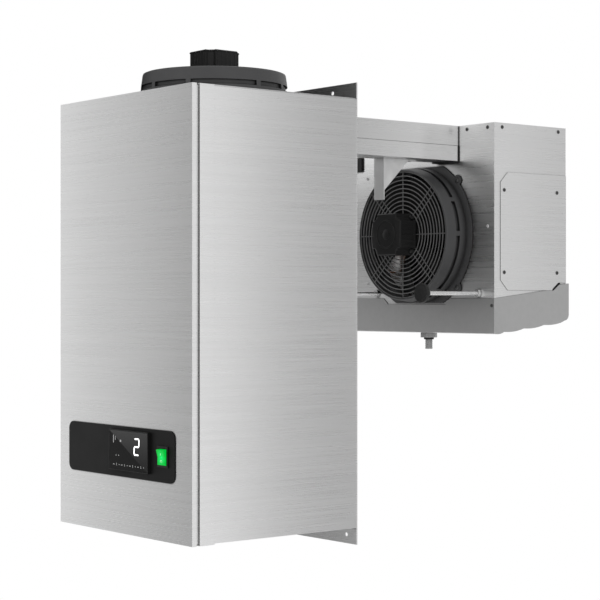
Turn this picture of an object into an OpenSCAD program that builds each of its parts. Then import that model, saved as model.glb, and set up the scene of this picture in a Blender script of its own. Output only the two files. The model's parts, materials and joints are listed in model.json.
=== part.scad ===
// Monoblock refrigeration unit for a cold room: condensing cabinet outside the wall,
// bridge over or through the wall, evaporator inside.
// Frame: origin at the centre of the wall plate's back face, +X right as seen from the front,
// +Y from the front into the cold room, +Z up. Millimetres.

/* [Cabinet] */
// Width of the cabinet and of the wall plate
unit_w = 406; // [396:2:450]
// Depth of the cabinet in front of the wall plate
case_d = 344; // [340:2:400]
// Height of the cabinet
case_h = 740; // [720:5:800]
// Thickness of the cabinet's stainless sheets
sheet_t = 1.2; // [0.8:0.1:1.5]
// Depth of the front panel's folded edge
panel_return = 9; // [7:1:14]
// Width of the shadow groove behind the front panel
groove_w = 6; // [3:1:9]
// Depth of the shadow groove
groove_depth = 3; // [2:0.5:5]
// Width of the band behind the shadow groove
band_w = 29; // [20:1:32]
// Drop of the side sheets' ends from the band's corners
skin_drop = 2; // [1:0.5:3]

/* [Wall plate] */
// Thickness of the wall plate
plate_t = 2; // [1.5:0.5:3]
// Lip of the wall plate above and below the cabinet
plate_lip = 27; // [22:1:35]
// Radius of the fixing holes
plate_hole_r = 3.5; // [3:0.5:4.5]
// Distance of the upper fixing holes from the plate's side edges
top_hole_in = 64; // [40:1:80]
// Distance of the lower fixing holes from the plate's side edges
bottom_hole_in = 27; // [20:1:50]

/* [Bridge] */
// Length of the bridge from the wall plate to the evaporator
bridge_len = 333; // [325:1:345]
// Width of the bridge
bridge_w = 58; // [54:1:80]
// Distance of the bridge from the unit's right side
bridge_inset = 95; // [80:1:110]
// Height of the bridge
bridge_h = 66; // [64:1:72]
// Height of the bridge's upper cover
cover_h = 37.5; // [34:0.5:42]
// Drop from the cabinet's top to the bridge's top
bridge_drop = 19; // [10:1:24]
// Distance from the wall plate to the wall hook
wall_gap = 172; // [150:1:178]
// Length of the wall hook below the bridge
hook_drop = 77; // [60:1:90]
// Width of the wall hook
hook_w = 27; // [20:1:32]

/* [Evaporator] */
// Depth of the evaporator casing
evap_d = 192; // [186:1:210]
// Height of the evaporator's front face above the drip tray's lip
evap_face_h = 325; // [322:1:360]
// Thickness of the evaporator's sheets
evap_t = 1.2; // [0.8:0.1:1.5]
// Height of the drip tray's front face
tray_face_h = 64.5; // [58:0.5:72]
// Rise of the drip tray's floor from front to back
tray_rise = 22.5; // [14:0.5:26]
// Thickness of the drip tray's walls
tray_t = 1; // [0.8:0.1:1.5]
// Outer radius of the drain spigot
drain_r = 7; // [6.5:0.5:8]
// Length of the drain spigot below its seal
drain_len = 18.5; // [14:0.5:26]
// Reach of the spacer rods from the evaporator's face
spacer_reach = 148; // [140:1:150]
// Radius of the spacer rods
rod_r = 4; // [3:0.5:5]
// Radius of the spacer feet
foot_r = 18; // [14:1:20]

/* [Fans] */
// Radius of the fan ring's flange
flange_r = 146; // [143:1:148]
// Outer radius of the fan bell at the flange
bell_r = 130; // [127:1:132]
// Height of the fan bell
bell_h = 47.5; // [44:0.5:50]
// Radius of the fan's throat
throat_r = 116; // [113:1:118]
// Radius of the impeller
impeller_r = 112; // [106:1:112]
// Width across the motor's flats
motor_w = 79; // [74:1:84]
// Height of the motor's top above the flange
motor_top = 88; // [84:1:94]
// Number of impeller blades
blades = 7; // [5:1:9]
// Number of wire rings in the guard
guard_rings = 10; // [8:1:10]

/* [Controls] */
// Width of the control fascia
fascia_w = 327; // [322:1:340]
// Height of the control fascia
fascia_h = 85; // [84:1:100]
// Distance from the cabinet's bottom to the fascia's lower edge
fascia_lift = 96; // [80:2:140]
// Width of the temperature controller
ctrl_w = 118; // [112:1:122]
// Height of the temperature controller
ctrl_h = 68.5; // [64:0.5:72]
// Width of the rocker
rocker_w = 22.5; // [20:0.5:24]
// Height of the rocker
rocker_h = 26; // [24:0.5:28]

/* [Hidden] */
$fn = 64;

// Overrun of every cut
over = 1;
// Gap between pieces that are seated or pushed together
seat = 0.3;
// Radial clearance of what turns or slides
run = 0.06;

// Cabinet
half_w = unit_w / 2;
case_top = case_h / 2;
case_bot = -case_top;
front_y = -(plate_t + case_d);
return_y = front_y + panel_return;
groove_y = return_y + groove_w;
band_y = groove_y + band_w;
inner_w = half_w - sheet_t;
skin_top = case_top - skin_drop;
skin_bot = case_bot + skin_drop;
band_flange = 12;
pan_lip = 20;
top_fold = 15;
slot_w = 6;
slot_len = 50;
slot_pitch = 14;
slot_edge = 12;
front_slots_share = 0.89;
rear_slots_share = 0.54;

// Wall plate
top_hole_drop = 13;
bottom_hole_rise = 15;

// Bridge and the passage for the lines inside it
evap_y = bridge_len;
bridge_top = case_top - bridge_drop;
bridge_bot = bridge_top - bridge_h;
bridge_right = half_w - bridge_inset;
bridge_left = bridge_right - bridge_w;
bridge_x = bridge_right - bridge_w / 2;
bridge_flange = 12;
seam_z = bridge_top - cover_h;
seam_gap = 0.6;
lap_down = 6;
lap_up = 10;
cover_gap = 1;
channel_gap = 3;
channel_y = evap_y - channel_gap;
gasket_sag = 2.5;
gasket_len = 12;
passage_half = 17;
passage_wall = 15;
passage_low = bridge_bot + passage_wall;
passage_high = bridge_top - passage_wall;
line_rise = 8;
line_z = passage_low + line_rise;
liquid_in = 11;
liquid_x = bridge_x - liquid_in;
suction_in = 2;
suction_x = bridge_x + suction_in;

// Wall hook
hook_t = 2;
hook_x = bridge_left + hook_w;
hook_tab = 81;
gusset_len = 61;
gusset_drop_share = 0.77;

// Evaporator and drip tray
evap_top = bridge_top;
lip_z = evap_top - evap_face_h;
evap_half = half_w - tray_t - seat;
evap_back = evap_y + evap_d;
evap_in = evap_half - evap_t;
panel_skirt = 31;
side_skirt = 14;
panel_low = lip_z - panel_skirt;
skin_low = lip_z - side_skirt;
door_t = 1;
door_front = 15.5;
door_corner = 18.5;
door_top_drop = 91;
tray_front = evap_y - seat - tray_t;
tray_low = lip_z - tray_face_h;
tray_side_rise = 15.4;
tray_step_rise = 11;
tray_back_rise = 2.6;
tray_level_at = 139;
tray_step_at = 158;
tray_step_run = 15;
tray_over_back = 7.6;
tray_back = evap_back + tray_over_back;
tray_corner = 12;
tray_back_low = tray_low + tray_rise;
hump_sag = 2.5;
hump_shares = [0, 0.13, 0.39, 0.66, 0.94];
notch_low = 11;
notch_left = -91;
notch_right = 73;
notch_run = 12;
step_gap = 4;
door_low = lip_z + tray_side_rise + seat;

// Drain
drain_in = 24;
drain_y = evap_y + drain_in;
boss_r = 20;
boss_h = 3.5;
nut_r = 16.4;
nut_h = 10;
seal_r = 9.7;
seal_h = 3.5;
drain_bore_r = 5;
drain_neck_in = 0.6;
drain_neck_past = 0.5;
drain_shank_r = 9;
drain_flange_r = 13;
drain_flange_t = 2;
barbs = 4;
barb_depth = 0.5;
barb_share = 0.3;

// Spacer rods
rod_right_inset = 41;
rod_left_inset = 81;
rod_rise = 10;
rod_x_right = half_w - rod_right_inset;
rod_x_left = -(half_w - rod_left_inset);
rod_z = lip_z + rod_rise;
rod_tail = 32;
nut_flats_r = 7.5;
nut_t = 6.5;
foot_pad_t = 8;
foot_hub_r = 10;
foot_hub_len = 17;
foot_y = evap_y - spacer_reach;
rod_front = foot_y + foot_pad_t;

// Screws
screw_r = 1.9;
screw_head_r = 3.4;
screw_head_h = 1.6;
screw_len = 8;
screw_edge = 19;
screw_inner = 73;
screw_drop = 8;
screw_mid_drop = 191;
screw_left_in = 50;
screw_left_drop = 85;
screw_left_rise = 29;
tray_screw_in = 7;
tray_screw_drop = 13;
side_screw_in = 20.5;
door_screw_in = 25;
door_screw_edge = 33;
fan_screw_r = 2.4;
fan_screw_head_r = 4.5;
fan_screw_head_h = 2.6;
fan_screw_len = 9;

// Fans, each in its own frame with the flange's back on z = 0
evap_fan_drop = 203;
evap_fan_z = evap_top - evap_fan_drop;
flange_t = 2.5;
flange_flat_share = 0.89;
flange_flat = flange_r * flange_flat_share;
cond_fan_share = 0.32;
cond_fan_room = case_d - panel_return - 2 * flange_flat;
cond_fan_y = -(plate_t + flange_flat + cond_fan_room * cond_fan_share);
ear_x = 106;
ear_y = 101;
ear_r = 10;
ear_hole_r = 2.75;
bell_t = 2.5;
bell_taper = 4.5;
bell_rim = 3;
throat_t = 2;
throat_h = 24;
vent_low = 17;
vent_high = 25.5;
vent_bridge_w = 9;
vent_bridges = [-56, 0, 30, 90, 150, 180, 236, 270];
guard_sink = 1;
guard_z = bell_h - guard_sink;
guard_pitch = 8;
wire_t = 2.2;
wire_lap = 0.5;
guard_ledge = 1.5;
pair_gap = 12;
motor_notch = 13;
motor_low = guard_z + seat;
motor_neck_r = 34;
shaft_r = 5;
shaft_up = 22;
hub_r = 40;
hub_clear = 4;
hub_top = guard_z - hub_clear;
neck_gap = 1;
hub_low = 8;
blade_t = 2.2;
blade_pitch = 27;
blade_root_w = 44;
blade_tip_w = 82;
blade_z_share = 0.46;

// Compressor
comp_ahead = 150;
comp_y = -(plate_t + comp_ahead);
pan_top = skin_bot + sheet_t;
grommet_h = 16;
grommet_r = 12;
foot_plate_t = 3;
foot_plate_w = 196;
foot_plate_d = 136;
foot_edge = 16;
comp_low = pan_top + grommet_h;
shell_low = comp_low + foot_plate_t;
shell_r = 80;
shell_h = 196;
shell_t = 3;
weld_r = 83;
weld_h = 7;
weld_share = 0.42;
stub_x = 44;
comp_x = suction_x - stub_x;
stub_h = 17;
stub_r = 6.5;
pump_r = 54;
pump_h = 120;
pump_foot_r = 24;
pump_foot_h = 24;
comp_box_w = 50;
comp_box_d = 30;
comp_box_h = 62;
comp_box_rise = 60;

// Coils
coil_inset = 53;
coil_half = half_w - coil_inset;
coil_fins = 24;
fin_t = 0.5;
end_t = 1.2;
end_flange = 16;
tube_r = 4.8;
tube_slack = 0.15;
tube_edge = 18;
tube_side = 12.5;
tubes_long = 8;
tube_free = 10;
tube_past = 2;
cond_coil_drop = 28;
cond_coil_top = case_top - sheet_t - cond_coil_drop;
cond_coil_h = 50;
cond_coil_low = cond_coil_top - cond_coil_h;
cond_coil_setback = 30;
cond_coil_front = band_y + cond_coil_setback;
cond_coil_ahead = 40;
cond_coil_back = -(plate_t + cond_coil_ahead);
evap_coil_setback = 105;
evap_coil_y = evap_y + evap_coil_setback;
evap_coil_d = 60;
evap_coil_rise = 36;
evap_coil_low = lip_z + evap_coil_rise;
evap_coil_drop = 16;
evap_coil_top = evap_top - evap_t - evap_coil_drop;

// Refrigerant lines
gas_r = 4;
liquid_r = 3;
capillary_r = 1.5;
suction_r = 6;
wide_bend = 14;
close_bend = 9;
gas_drop = 50;
gas_z = cond_coil_low - gas_drop;
suction_drop = 75;
suction_z = cond_coil_low - suction_drop;
liquid_drop = 90;
liquid_lane_z = cond_coil_low - liquid_drop;
lane_ahead = 18;
back_lane = -(plate_t + lane_ahead);
lane_inset = 19;
lane_x = -(half_w - lane_inset);
liquid_lane_inset = 33;
liquid_lane_x = -(half_w - liquid_lane_inset);
capillary_reach = 47;
capillary_turn_y = evap_y + capillary_reach;
suction_reach = 77;
suction_turn_y = evap_y + suction_reach;
drier_ahead = 58;
drier_y = -(plate_t + drier_ahead);
drier_drop = 20;
drier_top = liquid_lane_z - drier_drop;
drier_h = 110;
drier_r = 12;
drier_neck_share = 0.14;
capillary_drop = 20;

// Electrical box
box_w = 122;
box_d = 90;
box_h = 180;
box_lift = 220;
box_setback = 12;
box_right = -inner_w + box_w;
box_front = band_y + box_setback;
box_back = box_front + box_d;
box_low = case_bot + box_lift;
box_high = box_low + box_h;
box_t = 1.2;
block_w = 80;
block_h = 24;
block_d = 20;

// Cable gland
gland_inset = 53;
gland_x = -(half_w - gland_inset);
gland_ahead = 40;
gland_y = -(plate_t + gland_ahead);
gland_r = 10;
gland_bore_r = 5.5;
gland_hex_r = 14;
gland_hex_h = 7;
gland_cap_h = 15;
gland_nut_h = 5;

// Cable grommet on the evaporator's front
grommet_w = 28;
grommet_inset = 21;
grommet_x = -(half_w - grommet_inset);
grommet_drop = 56;
grommet_z = evap_top - grommet_drop;
grommet_proud = 4;
grommet_neck = 22;
grommet_depth = 8;

// Rear grille
louvres = 12;
louvre_t = 1;
louvre_d = 14;
louvre_tilt = 35;
grille_frame = 26;

// Controls
fascia_t = 1.5;
fascia_r = 13;
fascia_inset = 32;
fascia_left = -(half_w - fascia_inset);
fascia_low = case_bot + fascia_lift;
fascia_y = front_y - fascia_t;
ctrl_in = 138;
ctrl_lift = 11;
ctrl_left = fascia_left + ctrl_in;
ctrl_low = fascia_low + ctrl_lift;
ctrl_proud = 5;
ctrl_rim = 1.5;
ctrl_neck_in = 4;
ctrl_depth = 50;
glass_t = 1.5;
glass_y = fascia_y - ctrl_proud;
digit_w = 18;
digit_h = 29;
digit_stroke = 3.4;
digit_in = 73.5;
digit_lift = 28;
digit_left = ctrl_left + digit_in;
digit_low = ctrl_low + digit_lift;
digit_t = 0.4;
digit_gap = 0.5;
rocker_in = 293.5;
rocker_rise = 42;
rocker_x = fascia_left + rocker_in;
rocker_z = fascia_low + rocker_rise;
rocker_air = 0.5;
bezel_t = 1.9;
bezel_proud = 1.6;
rocker_depth = 24;
rocker_tilt = 7;
rocker_lift = 3.4;
rocker_valley = 1.6;
rocker_back = 7;
rocker_pivot_in = 3;
pin_r = 1.5;
pin_len = 1.6;
housing_t = 2;

// A block between two corners
module block(low, high) {
    translate(low) cube(high - low);
}

// Round bars along the three axes
module bar_x(x0, x1, y, z, r) {
    translate([x0, y, z]) rotate([0, 90, 0]) cylinder(h = x1 - x0, r = r);
}

module bar_y(x, y0, y1, z, r) {
    translate([x, y0, z]) rotate([-90, 0, 0]) cylinder(h = y1 - y0, r = r);
}

module bar_z(x, y, z0, z1, r) {
    translate([x, y, z0]) cylinder(h = z1 - z0, r = r);
}

// A side view outline, points [y, z], between two x
module side_slab(x0, x1) {
    translate([x0, 0, 0]) rotate([90, 0, 90]) linear_extrude(x1 - x0) children();
}

// A rectangular tube along y with walls inside its outline
module tube_y(half_x, low_z, high_z, y0, y1, wall) {
    difference() {
        block([-half_x, y0, low_z], [half_x, y1, high_z]);
        block([-half_x + wall, y0 - over, low_z + wall], [half_x - wall, y1 + over, high_z - wall]);
    }
}

// A copper tube along a right-angled route
function unit(v) = v / norm(v);

module placed(a, b, c, at) {
    multmatrix([[a.x, b.x, c.x, at.x], [a.y, b.y, c.y, at.y], [a.z, b.z, c.z, at.z], [0, 0, 0, 1]])
        children();
}

module straight(from, to, r) {
    d = unit(to - from);
    a = abs(d.x) > 0.5 ? [0, 1, 0] : [1, 0, 0];
    placed(a, cross(d, a), d, from) cylinder(h = norm(to - from), r = r);
}

// The part of a tube's ring about z that lies between two corners of its own plane
module ring_part(bend, r, low, high) {
    reach = bend + r + over;
    intersection() {
        rotate_extrude() translate([bend, 0]) circle(r);
        block([low.x * reach, low.y * reach, -r - over], [high.x * reach, high.y * reach, r + over]);
    }
}

module elbow(corner, d1, d2, r, bend) {
    placed(-d2, d1, cross(d1, d2), corner + (d2 - d1) * bend) ring_part(bend, r, [0, 0], [1, 1]);
}

module pipe(route, r, bend) {
    last = len(route) - 1;
    for (i = [0 : last - 1]) {
        d = unit(route[i + 1] - route[i]);
        from = i == 0 ? route[0] : route[i] + d * bend;
        to = i == last - 1 ? route[last] : route[i + 1] - d * bend;
        straight(from, to, r);
    }
    for (i = [1 : last - 1])
        elbow(route[i], unit(route[i] - route[i - 1]), unit(route[i + 1] - route[i]), r, bend);
}

// Front of the cabinet
module controller_hole() {
    block([ctrl_left + ctrl_neck_in - seat, fascia_y - over, ctrl_low + ctrl_neck_in - seat],
          [ctrl_left + ctrl_w - ctrl_neck_in + seat, return_y + over,
           ctrl_low + ctrl_h - ctrl_neck_in + seat]);
}

module rocker_hole() {
    half_x = rocker_w / 2 + rocker_air + housing_t + seat;
    half_z = rocker_h / 2 + rocker_air + housing_t + seat;
    block([rocker_x - half_x, fascia_y - over, rocker_z - half_z],
          [rocker_x + half_x, return_y + over, rocker_z + half_z]);
}

module front_panel() {
    color("silver") difference() {
        block([-half_w, front_y, case_bot], [half_w, return_y, case_top]);
        block([-inner_w, front_y + sheet_t, case_bot + sheet_t],
              [inner_w, return_y + over, case_top - sheet_t]);
        controller_hole();
        rocker_hole();
    }
}

// Recessed neck, stepped out to the band, with a flange that the side and top sheets butt on
module front_frame() {
    neck = half_w - groove_depth;
    neck_top = case_top - groove_depth;
    color("gainsboro") union() {
        tube_y(neck, -neck_top, neck_top, front_y + sheet_t, groove_y + sheet_t, sheet_t);
        tube_y(half_w, case_bot, case_top, groove_y, groove_y + sheet_t, groove_depth + sheet_t);
        tube_y(half_w, case_bot, case_top, groove_y, band_y, sheet_t);
        tube_y(half_w, case_bot, case_top, band_y - sheet_t, band_y, band_flange);
    }
}

module side_sheet(side) {
    low_x = side > 0 ? inner_w : -half_w;
    block([low_x, band_y, skin_bot], [low_x + sheet_t, -plate_t, skin_top]);
}

module side_panel_left() {
    color("silver") side_sheet(-1);
}

module side_panel_right() {
    color("silver") side_sheet(1);
}

module fan_ears() {
    for (sx = [-1, 1], sy = [-1, 1]) translate([sx * ear_x, sy * ear_y, 0]) children();
}

// Top sheet with its sides folded down inside the side sheets
module top_panel() {
    color("silver") difference() {
        union() {
            block([-inner_w, band_y, case_top - sheet_t], [inner_w, -plate_t, case_top]);
            for (x = [-inner_w, inner_w - sheet_t])
                block([x, band_y, case_top - top_fold], [x + sheet_t, -plate_t, case_top]);
        }
        translate([0, cond_fan_y, case_top - sheet_t - over]) {
            cylinder(h = sheet_t + 2 * over, r = throat_r);
            fan_ears() cylinder(h = sheet_t + 2 * over, r = ear_hole_r);
        }
    }
}

module slot_row(y0, half_x) {
    count = floor(half_x / slot_pitch);
    for (i = [-count : count])
        block([i * slot_pitch - slot_w / 2, y0, skin_bot - over],
              [i * slot_pitch + slot_w / 2, y0 + slot_len, pan_top + over]);
}

module base_pan() {
    color("lightgrey") difference() {
        union() {
            block([-inner_w, band_y, skin_bot], [inner_w, -plate_t, pan_top]);
            block([-inner_w, band_y, skin_bot], [inner_w, band_y + sheet_t, skin_bot + pan_lip]);
            block([-inner_w, -plate_t - sheet_t, skin_bot], [inner_w, -plate_t, skin_bot + pan_lip]);
        }
        slot_row(band_y + slot_edge, half_w * front_slots_share);
        slot_row(-plate_t - slot_edge - slot_len, half_w * rear_slots_share);
        bar_z(gland_x, gland_y, skin_bot - over, pan_top + over, gland_r + seat);
    }
}

module wall_plate() {
    top_z = case_top + plate_lip - top_hole_drop;
    bottom_z = case_bot - plate_lip + bottom_hole_rise;
    color("silver") difference() {
        block([-half_w, -plate_t, case_bot - plate_lip], [half_w, 0, case_top + plate_lip]);
        block([bridge_left - seat, -plate_t - over, bridge_bot - seat],
              [bridge_right + seat, over, bridge_top + seat]);
        for (s = [-1, 1]) {
            bar_y(s * (half_w - top_hole_in), -plate_t - over, over, top_z, plate_hole_r);
            bar_y(s * (half_w - bottom_hole_in), -plate_t - over, over, bottom_z, plate_hole_r);
        }
    }
}

// Controls
module rounded_plate(x0, x1, z0, z1, y0, y1, r) {
    block([x0 + r, y0, z0], [x1 - r, y1, z1]);
    block([x0, y0, z0 + r], [x1, y1, z1 - r]);
    for (x = [x0 + r, x1 - r], z = [z0 + r, z1 - r]) bar_y(x, y0, y1, z, r);
}

module fascia_plate() {
    color([0.12, 0.12, 0.12]) difference() {
        rounded_plate(fascia_left, fascia_left + fascia_w, fascia_low, fascia_low + fascia_h,
                      fascia_y, front_y, fascia_r);
        controller_hole();
        rocker_hole();
    }
}

module controller_body() {
    color([0.08, 0.08, 0.08]) difference() {
        union() {
            block([ctrl_left, glass_y, ctrl_low], [ctrl_left + ctrl_w, fascia_y, ctrl_low + ctrl_h]);
            block([ctrl_left + ctrl_neck_in, fascia_y, ctrl_low + ctrl_neck_in],
                  [ctrl_left + ctrl_w - ctrl_neck_in, front_y + ctrl_depth,
                   ctrl_low + ctrl_h - ctrl_neck_in]);
        }
        block([ctrl_left + ctrl_rim, glass_y - over, ctrl_low + ctrl_rim],
              [ctrl_left + ctrl_w - ctrl_rim, glass_y + glass_t, ctrl_low + ctrl_h - ctrl_rim]);
    }
}

module display_glass() {
    inset = ctrl_rim + seat;
    color([0.05, 0.05, 0.06])
        block([ctrl_left + inset, glass_y, ctrl_low + inset],
              [ctrl_left + ctrl_w - inset, glass_y + glass_t, ctrl_low + ctrl_h - inset]);
}

// The digit 2 as five lit strokes on the glass
module digit_stroke_flat(z) {
    block([digit_left + digit_gap, glass_y - digit_t, z],
          [digit_left + digit_w - digit_gap, glass_y, z + digit_stroke]);
}

module digit_stroke_upright(x, z0, z1) {
    block([x, glass_y - digit_t, z0 + digit_gap], [x + digit_stroke, glass_y, z1 - digit_gap]);
}

module display_digit() {
    middle = digit_low + (digit_h - digit_stroke) / 2;
    top = digit_low + digit_h - digit_stroke;
    color("white") union() {
        for (z = [digit_low, middle, top]) digit_stroke_flat(z);
        digit_stroke_upright(digit_left, digit_low + digit_stroke, middle);
        digit_stroke_upright(digit_left + digit_w - digit_stroke, middle + digit_stroke, top);
    }
}

module rocker_frame() {
    in_x = rocker_w / 2 + rocker_air;
    in_z = rocker_h / 2 + rocker_air;
    out_x = in_x + housing_t;
    out_z = in_z + housing_t;
    color([0.1, 0.1, 0.1]) difference() {
        union() {
            block([rocker_x - out_x - bezel_t, fascia_y - bezel_proud, rocker_z - out_z - bezel_t],
                  [rocker_x + out_x + bezel_t, fascia_y, rocker_z + out_z + bezel_t]);
            block([rocker_x - out_x, fascia_y, rocker_z - out_z],
                  [rocker_x + out_x, fascia_y + rocker_depth, rocker_z + out_z]);
        }
        block([rocker_x - in_x, fascia_y - bezel_proud - over, rocker_z - in_z],
              [rocker_x + in_x, fascia_y + rocker_depth - housing_t, rocker_z + in_z]);
        bar_x(rocker_x - in_x - pin_len - run, rocker_x + in_x + pin_len + run,
              fascia_y + rocker_pivot_in, rocker_z, pin_r + run);
    }
}

// Side view of the rocker about its pivot: its front is a shallow valley, stored tilted
module rocker_button() {
    half_z = rocker_h / 2 - rocker_lift * sin(rocker_tilt);
    front = rocker_pivot_in + bezel_proud;
    color("limegreen") translate([0, fascia_y + rocker_pivot_in, rocker_z])
        rotate([rocker_tilt, 0, 0]) {
            side_slab(rocker_x - rocker_w / 2, rocker_x + rocker_w / 2)
                polygon([[rocker_back, -half_z * 0.7], [rocker_back, half_z * 0.7],
                         [0, half_z], [-front - rocker_lift, half_z],
                         [-front - rocker_lift + rocker_valley, 0],
                         [-front - rocker_lift, -half_z], [0, -half_z]]);
            bar_x(rocker_x - rocker_w / 2 - rocker_air - pin_len,
                  rocker_x + rocker_w / 2 + rocker_air + pin_len, 0, 0, pin_r);
        }
}

// Electrical box on the left side sheet, open to the front under its cover
module control_box() {
    color("lightgrey") difference() {
        block([-inner_w, box_front, box_low], [box_right, box_back, box_high]);
        block([-inner_w + box_t, box_front - over, box_low + box_t],
              [box_right - box_t, box_back - box_t, box_high - box_t]);
    }
}

module control_box_cover() {
    color("silver") block([-inner_w, box_front - box_t, box_low], [box_right, box_front, box_high]);
}

module terminal_block() {
    mid_x = (box_right - inner_w) / 2;
    mid_z = (box_low + box_high) / 2;
    back = box_back - box_t;
    ways = 8;
    pitch = block_w / ways;
    color("beige") difference() {
        block([mid_x - block_w / 2, back - block_d, mid_z - block_h / 2],
              [mid_x + block_w / 2, back, mid_z + block_h / 2]);
        for (i = [0 : ways - 1])
            bar_y(mid_x - block_w / 2 + (i + 0.5) * pitch, back - block_d - over,
                  back - block_d / 2, mid_z, pitch / 4);
    }
}

// Compressor: welded shell on its foot plate, with two stubs on top
function shell_outline(inset) = [
    [0, inset], [shell_r * 0.55, inset], [shell_r * 0.9 - inset, shell_h * 0.07 + inset],
    [shell_r - inset, shell_h * 0.18], [shell_r - inset, shell_h * 0.74],
    [shell_r * 0.9 - inset, shell_h * 0.88], [shell_r * 0.6, shell_h * 0.97 - inset],
    [shell_r * 0.3, shell_h - inset], [0, shell_h - inset]];

module compressor_shell() {
    seam = shell_low + shell_h * weld_share;
    color([0.1, 0.1, 0.11]) difference() {
        union() {
            translate([comp_x, comp_y, shell_low]) rotate_extrude() polygon(shell_outline(0));
            bar_z(comp_x, comp_y, seam, seam + weld_h, weld_r);
            for (s = [-1, 1])
                bar_z(comp_x + s * stub_x, comp_y, shell_low + shell_h - stub_h,
                      shell_low + shell_h + stub_h, stub_r);
            block([comp_x - foot_plate_w / 2, comp_y - foot_plate_d / 2, comp_low],
                  [comp_x + foot_plate_w / 2, comp_y + foot_plate_d / 2, shell_low + over]);
        }
        translate([comp_x, comp_y, shell_low]) rotate_extrude() polygon(shell_outline(shell_t));
    }
}

module compressor_pump() {
    low = shell_low + shell_t + seat;
    color("dimgrey") union() {
        bar_z(comp_x, comp_y, low, low + pump_foot_h, pump_foot_r);
        bar_z(comp_x, comp_y, low + pump_foot_h, low + pump_foot_h + pump_h, pump_r);
    }
}

module compressor_grommets() {
    color([0.15, 0.15, 0.15]) for (sx = [-1, 1], sy = [-1, 1])
        bar_z(comp_x + sx * (foot_plate_w / 2 - foot_edge), comp_y + sy * (foot_plate_d / 2 - foot_edge),
              pan_top, comp_low, grommet_r);
}

module compressor_terminal_cover() {
    low = shell_low + comp_box_rise + weld_h + shell_h * weld_share - comp_box_h;
    color([0.14, 0.14, 0.14]) difference() {
        block([comp_x - shell_r - comp_box_d, comp_y - comp_box_w / 2, low],
              [comp_x - shell_r * 0.8, comp_y + comp_box_w / 2, low + comp_box_h]);
        bar_z(comp_x, comp_y, low - over, low + comp_box_h + over, weld_r + seat);
    }
}

// Coils. The places are [y, z] of the tubes in the order in which the refrigerant runs
function serpentine(long0, long1, short0, short1) = [
    for (i = [0 : tubes_long - 1]) [long0 + (long1 - long0) * i / (tubes_long - 1), short0],
    for (i = [tubes_long - 1 : -1 : 0]) [long0 + (long1 - long0) * i / (tubes_long - 1), short1]];

cond_places = serpentine(cond_coil_front + tube_edge, cond_coil_back - tube_edge,
                         cond_coil_top - tube_side, cond_coil_low + tube_side);
evap_places = [for (p = serpentine(evap_coil_low + tube_edge, evap_coil_top - tube_edge,
                                   evap_coil_y + tube_side, evap_coil_y + evap_coil_d - tube_side))
               [p.y, p.x]];

module coil_sheet(x0, t, y0, y1, z0, z1, places) {
    side_slab(x0, x0 + t) difference() {
        translate([y0, z0]) square([y1 - y0, z1 - z0]);
        for (p = places) translate(p) circle(tube_r + tube_slack);
    }
}

// Fins between two end plates that hang from the sheet at top_z
module coil_stack(y0, y1, z0, z1, top_z, places) {
    pitch = 2 * coil_half / (coil_fins + 1);
    for (i = [1 : coil_fins])
        coil_sheet(-coil_half + i * pitch - fin_t / 2, fin_t, y0, y1, z0, z1, places);
    for (s = [-1, 1]) {
        x0 = s > 0 ? coil_half : -coil_half - end_t;
        flange_x = s > 0 ? coil_half : -coil_half - end_flange;
        coil_sheet(x0, end_t, y0, y1, z0, top_z, places);
        block([flange_x, y0, top_z - end_t], [flange_x + end_flange, y1, top_z]);
    }
}

// Straight tubes through all the places, with return bends pushed up to their ends;
// the first and the last tube stay open on the left
module coil_tubes(places) {
    reach = coil_half + end_t + tube_past;
    last = len(places) - 1;
    for (i = [0 : last]) {
        free = (i == 0 || i == last) ? tube_free : 0;
        bar_x(-reach - free, reach, places[i].x, places[i].y, tube_r);
    }
    for (i = [0 : last - 1]) {
        side = i % 2 == 0 ? 1 : -1;
        gap = places[i + 1] - places[i];
        across = unit([0, gap.x, gap.y]);
        middle = (places[i + 1] + places[i]) / 2;
        out = [side, 0, 0];
        placed(across, out, cross(across, out), [side * (reach + seat), middle.x, middle.y])
            ring_part(norm(gap) / 2, tube_r, [-1, 0], [1, 1]);
    }
}

module condenser_fins() {
    color("lightsteelblue")
        coil_stack(cond_coil_front, cond_coil_back, cond_coil_low, cond_coil_top,
                   case_top - sheet_t, cond_places);
}

module condenser_tubes() {
    color("peru") coil_tubes(cond_places);
}

module evap_fins() {
    color("lightsteelblue")
        coil_stack(evap_coil_y, evap_coil_y + evap_coil_d, evap_coil_low, evap_coil_top,
                   evap_top - evap_t, evap_places);
}

module evap_tubes() {
    color("peru") coil_tubes(evap_places);
}

// Fan pieces, on a flange at z = 0 that faces up
module fan_ring() {
    bell_top_r = bell_r - bell_taper;
    difference() {
        union() {
            intersection() {
                cylinder(h = flange_t, r = flange_r);
                block([-flange_r, -flange_flat, 0], [flange_r, flange_flat, flange_t]);
            }
            fan_ears() cylinder(h = flange_t, r = ear_r);
            rotate_extrude() polygon([
                [throat_r, 0], [bell_r, 0], [bell_r - bell_taper * 0.4, vent_high],
                [bell_top_r, bell_h - bell_rim], [bell_top_r - bell_rim * 0.3, bell_h - bell_rim * 0.3],
                [bell_top_r - bell_rim, bell_h], [bell_top_r - bell_rim - bell_t * 0.2, bell_h],
                [bell_top_r - bell_rim - bell_t * 0.2, guard_z - 2 * wire_t - seat],
                [bell_top_r - bell_rim - bell_t * 0.2 - guard_ledge, guard_z - 2 * wire_t - seat],
                [bell_top_r - bell_rim - bell_t * 0.2 - guard_ledge, throat_h],
                [throat_r + throat_t, throat_h], [throat_r, throat_h - throat_t]]);
        }
        fan_vents();
        translate([0, 0, -over]) cylinder(h = flange_t + 2 * over, r = throat_r);
        fan_ears() translate([0, 0, -over]) cylinder(h = flange_t + 2 * over, r = ear_hole_r);
    }
}

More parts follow.
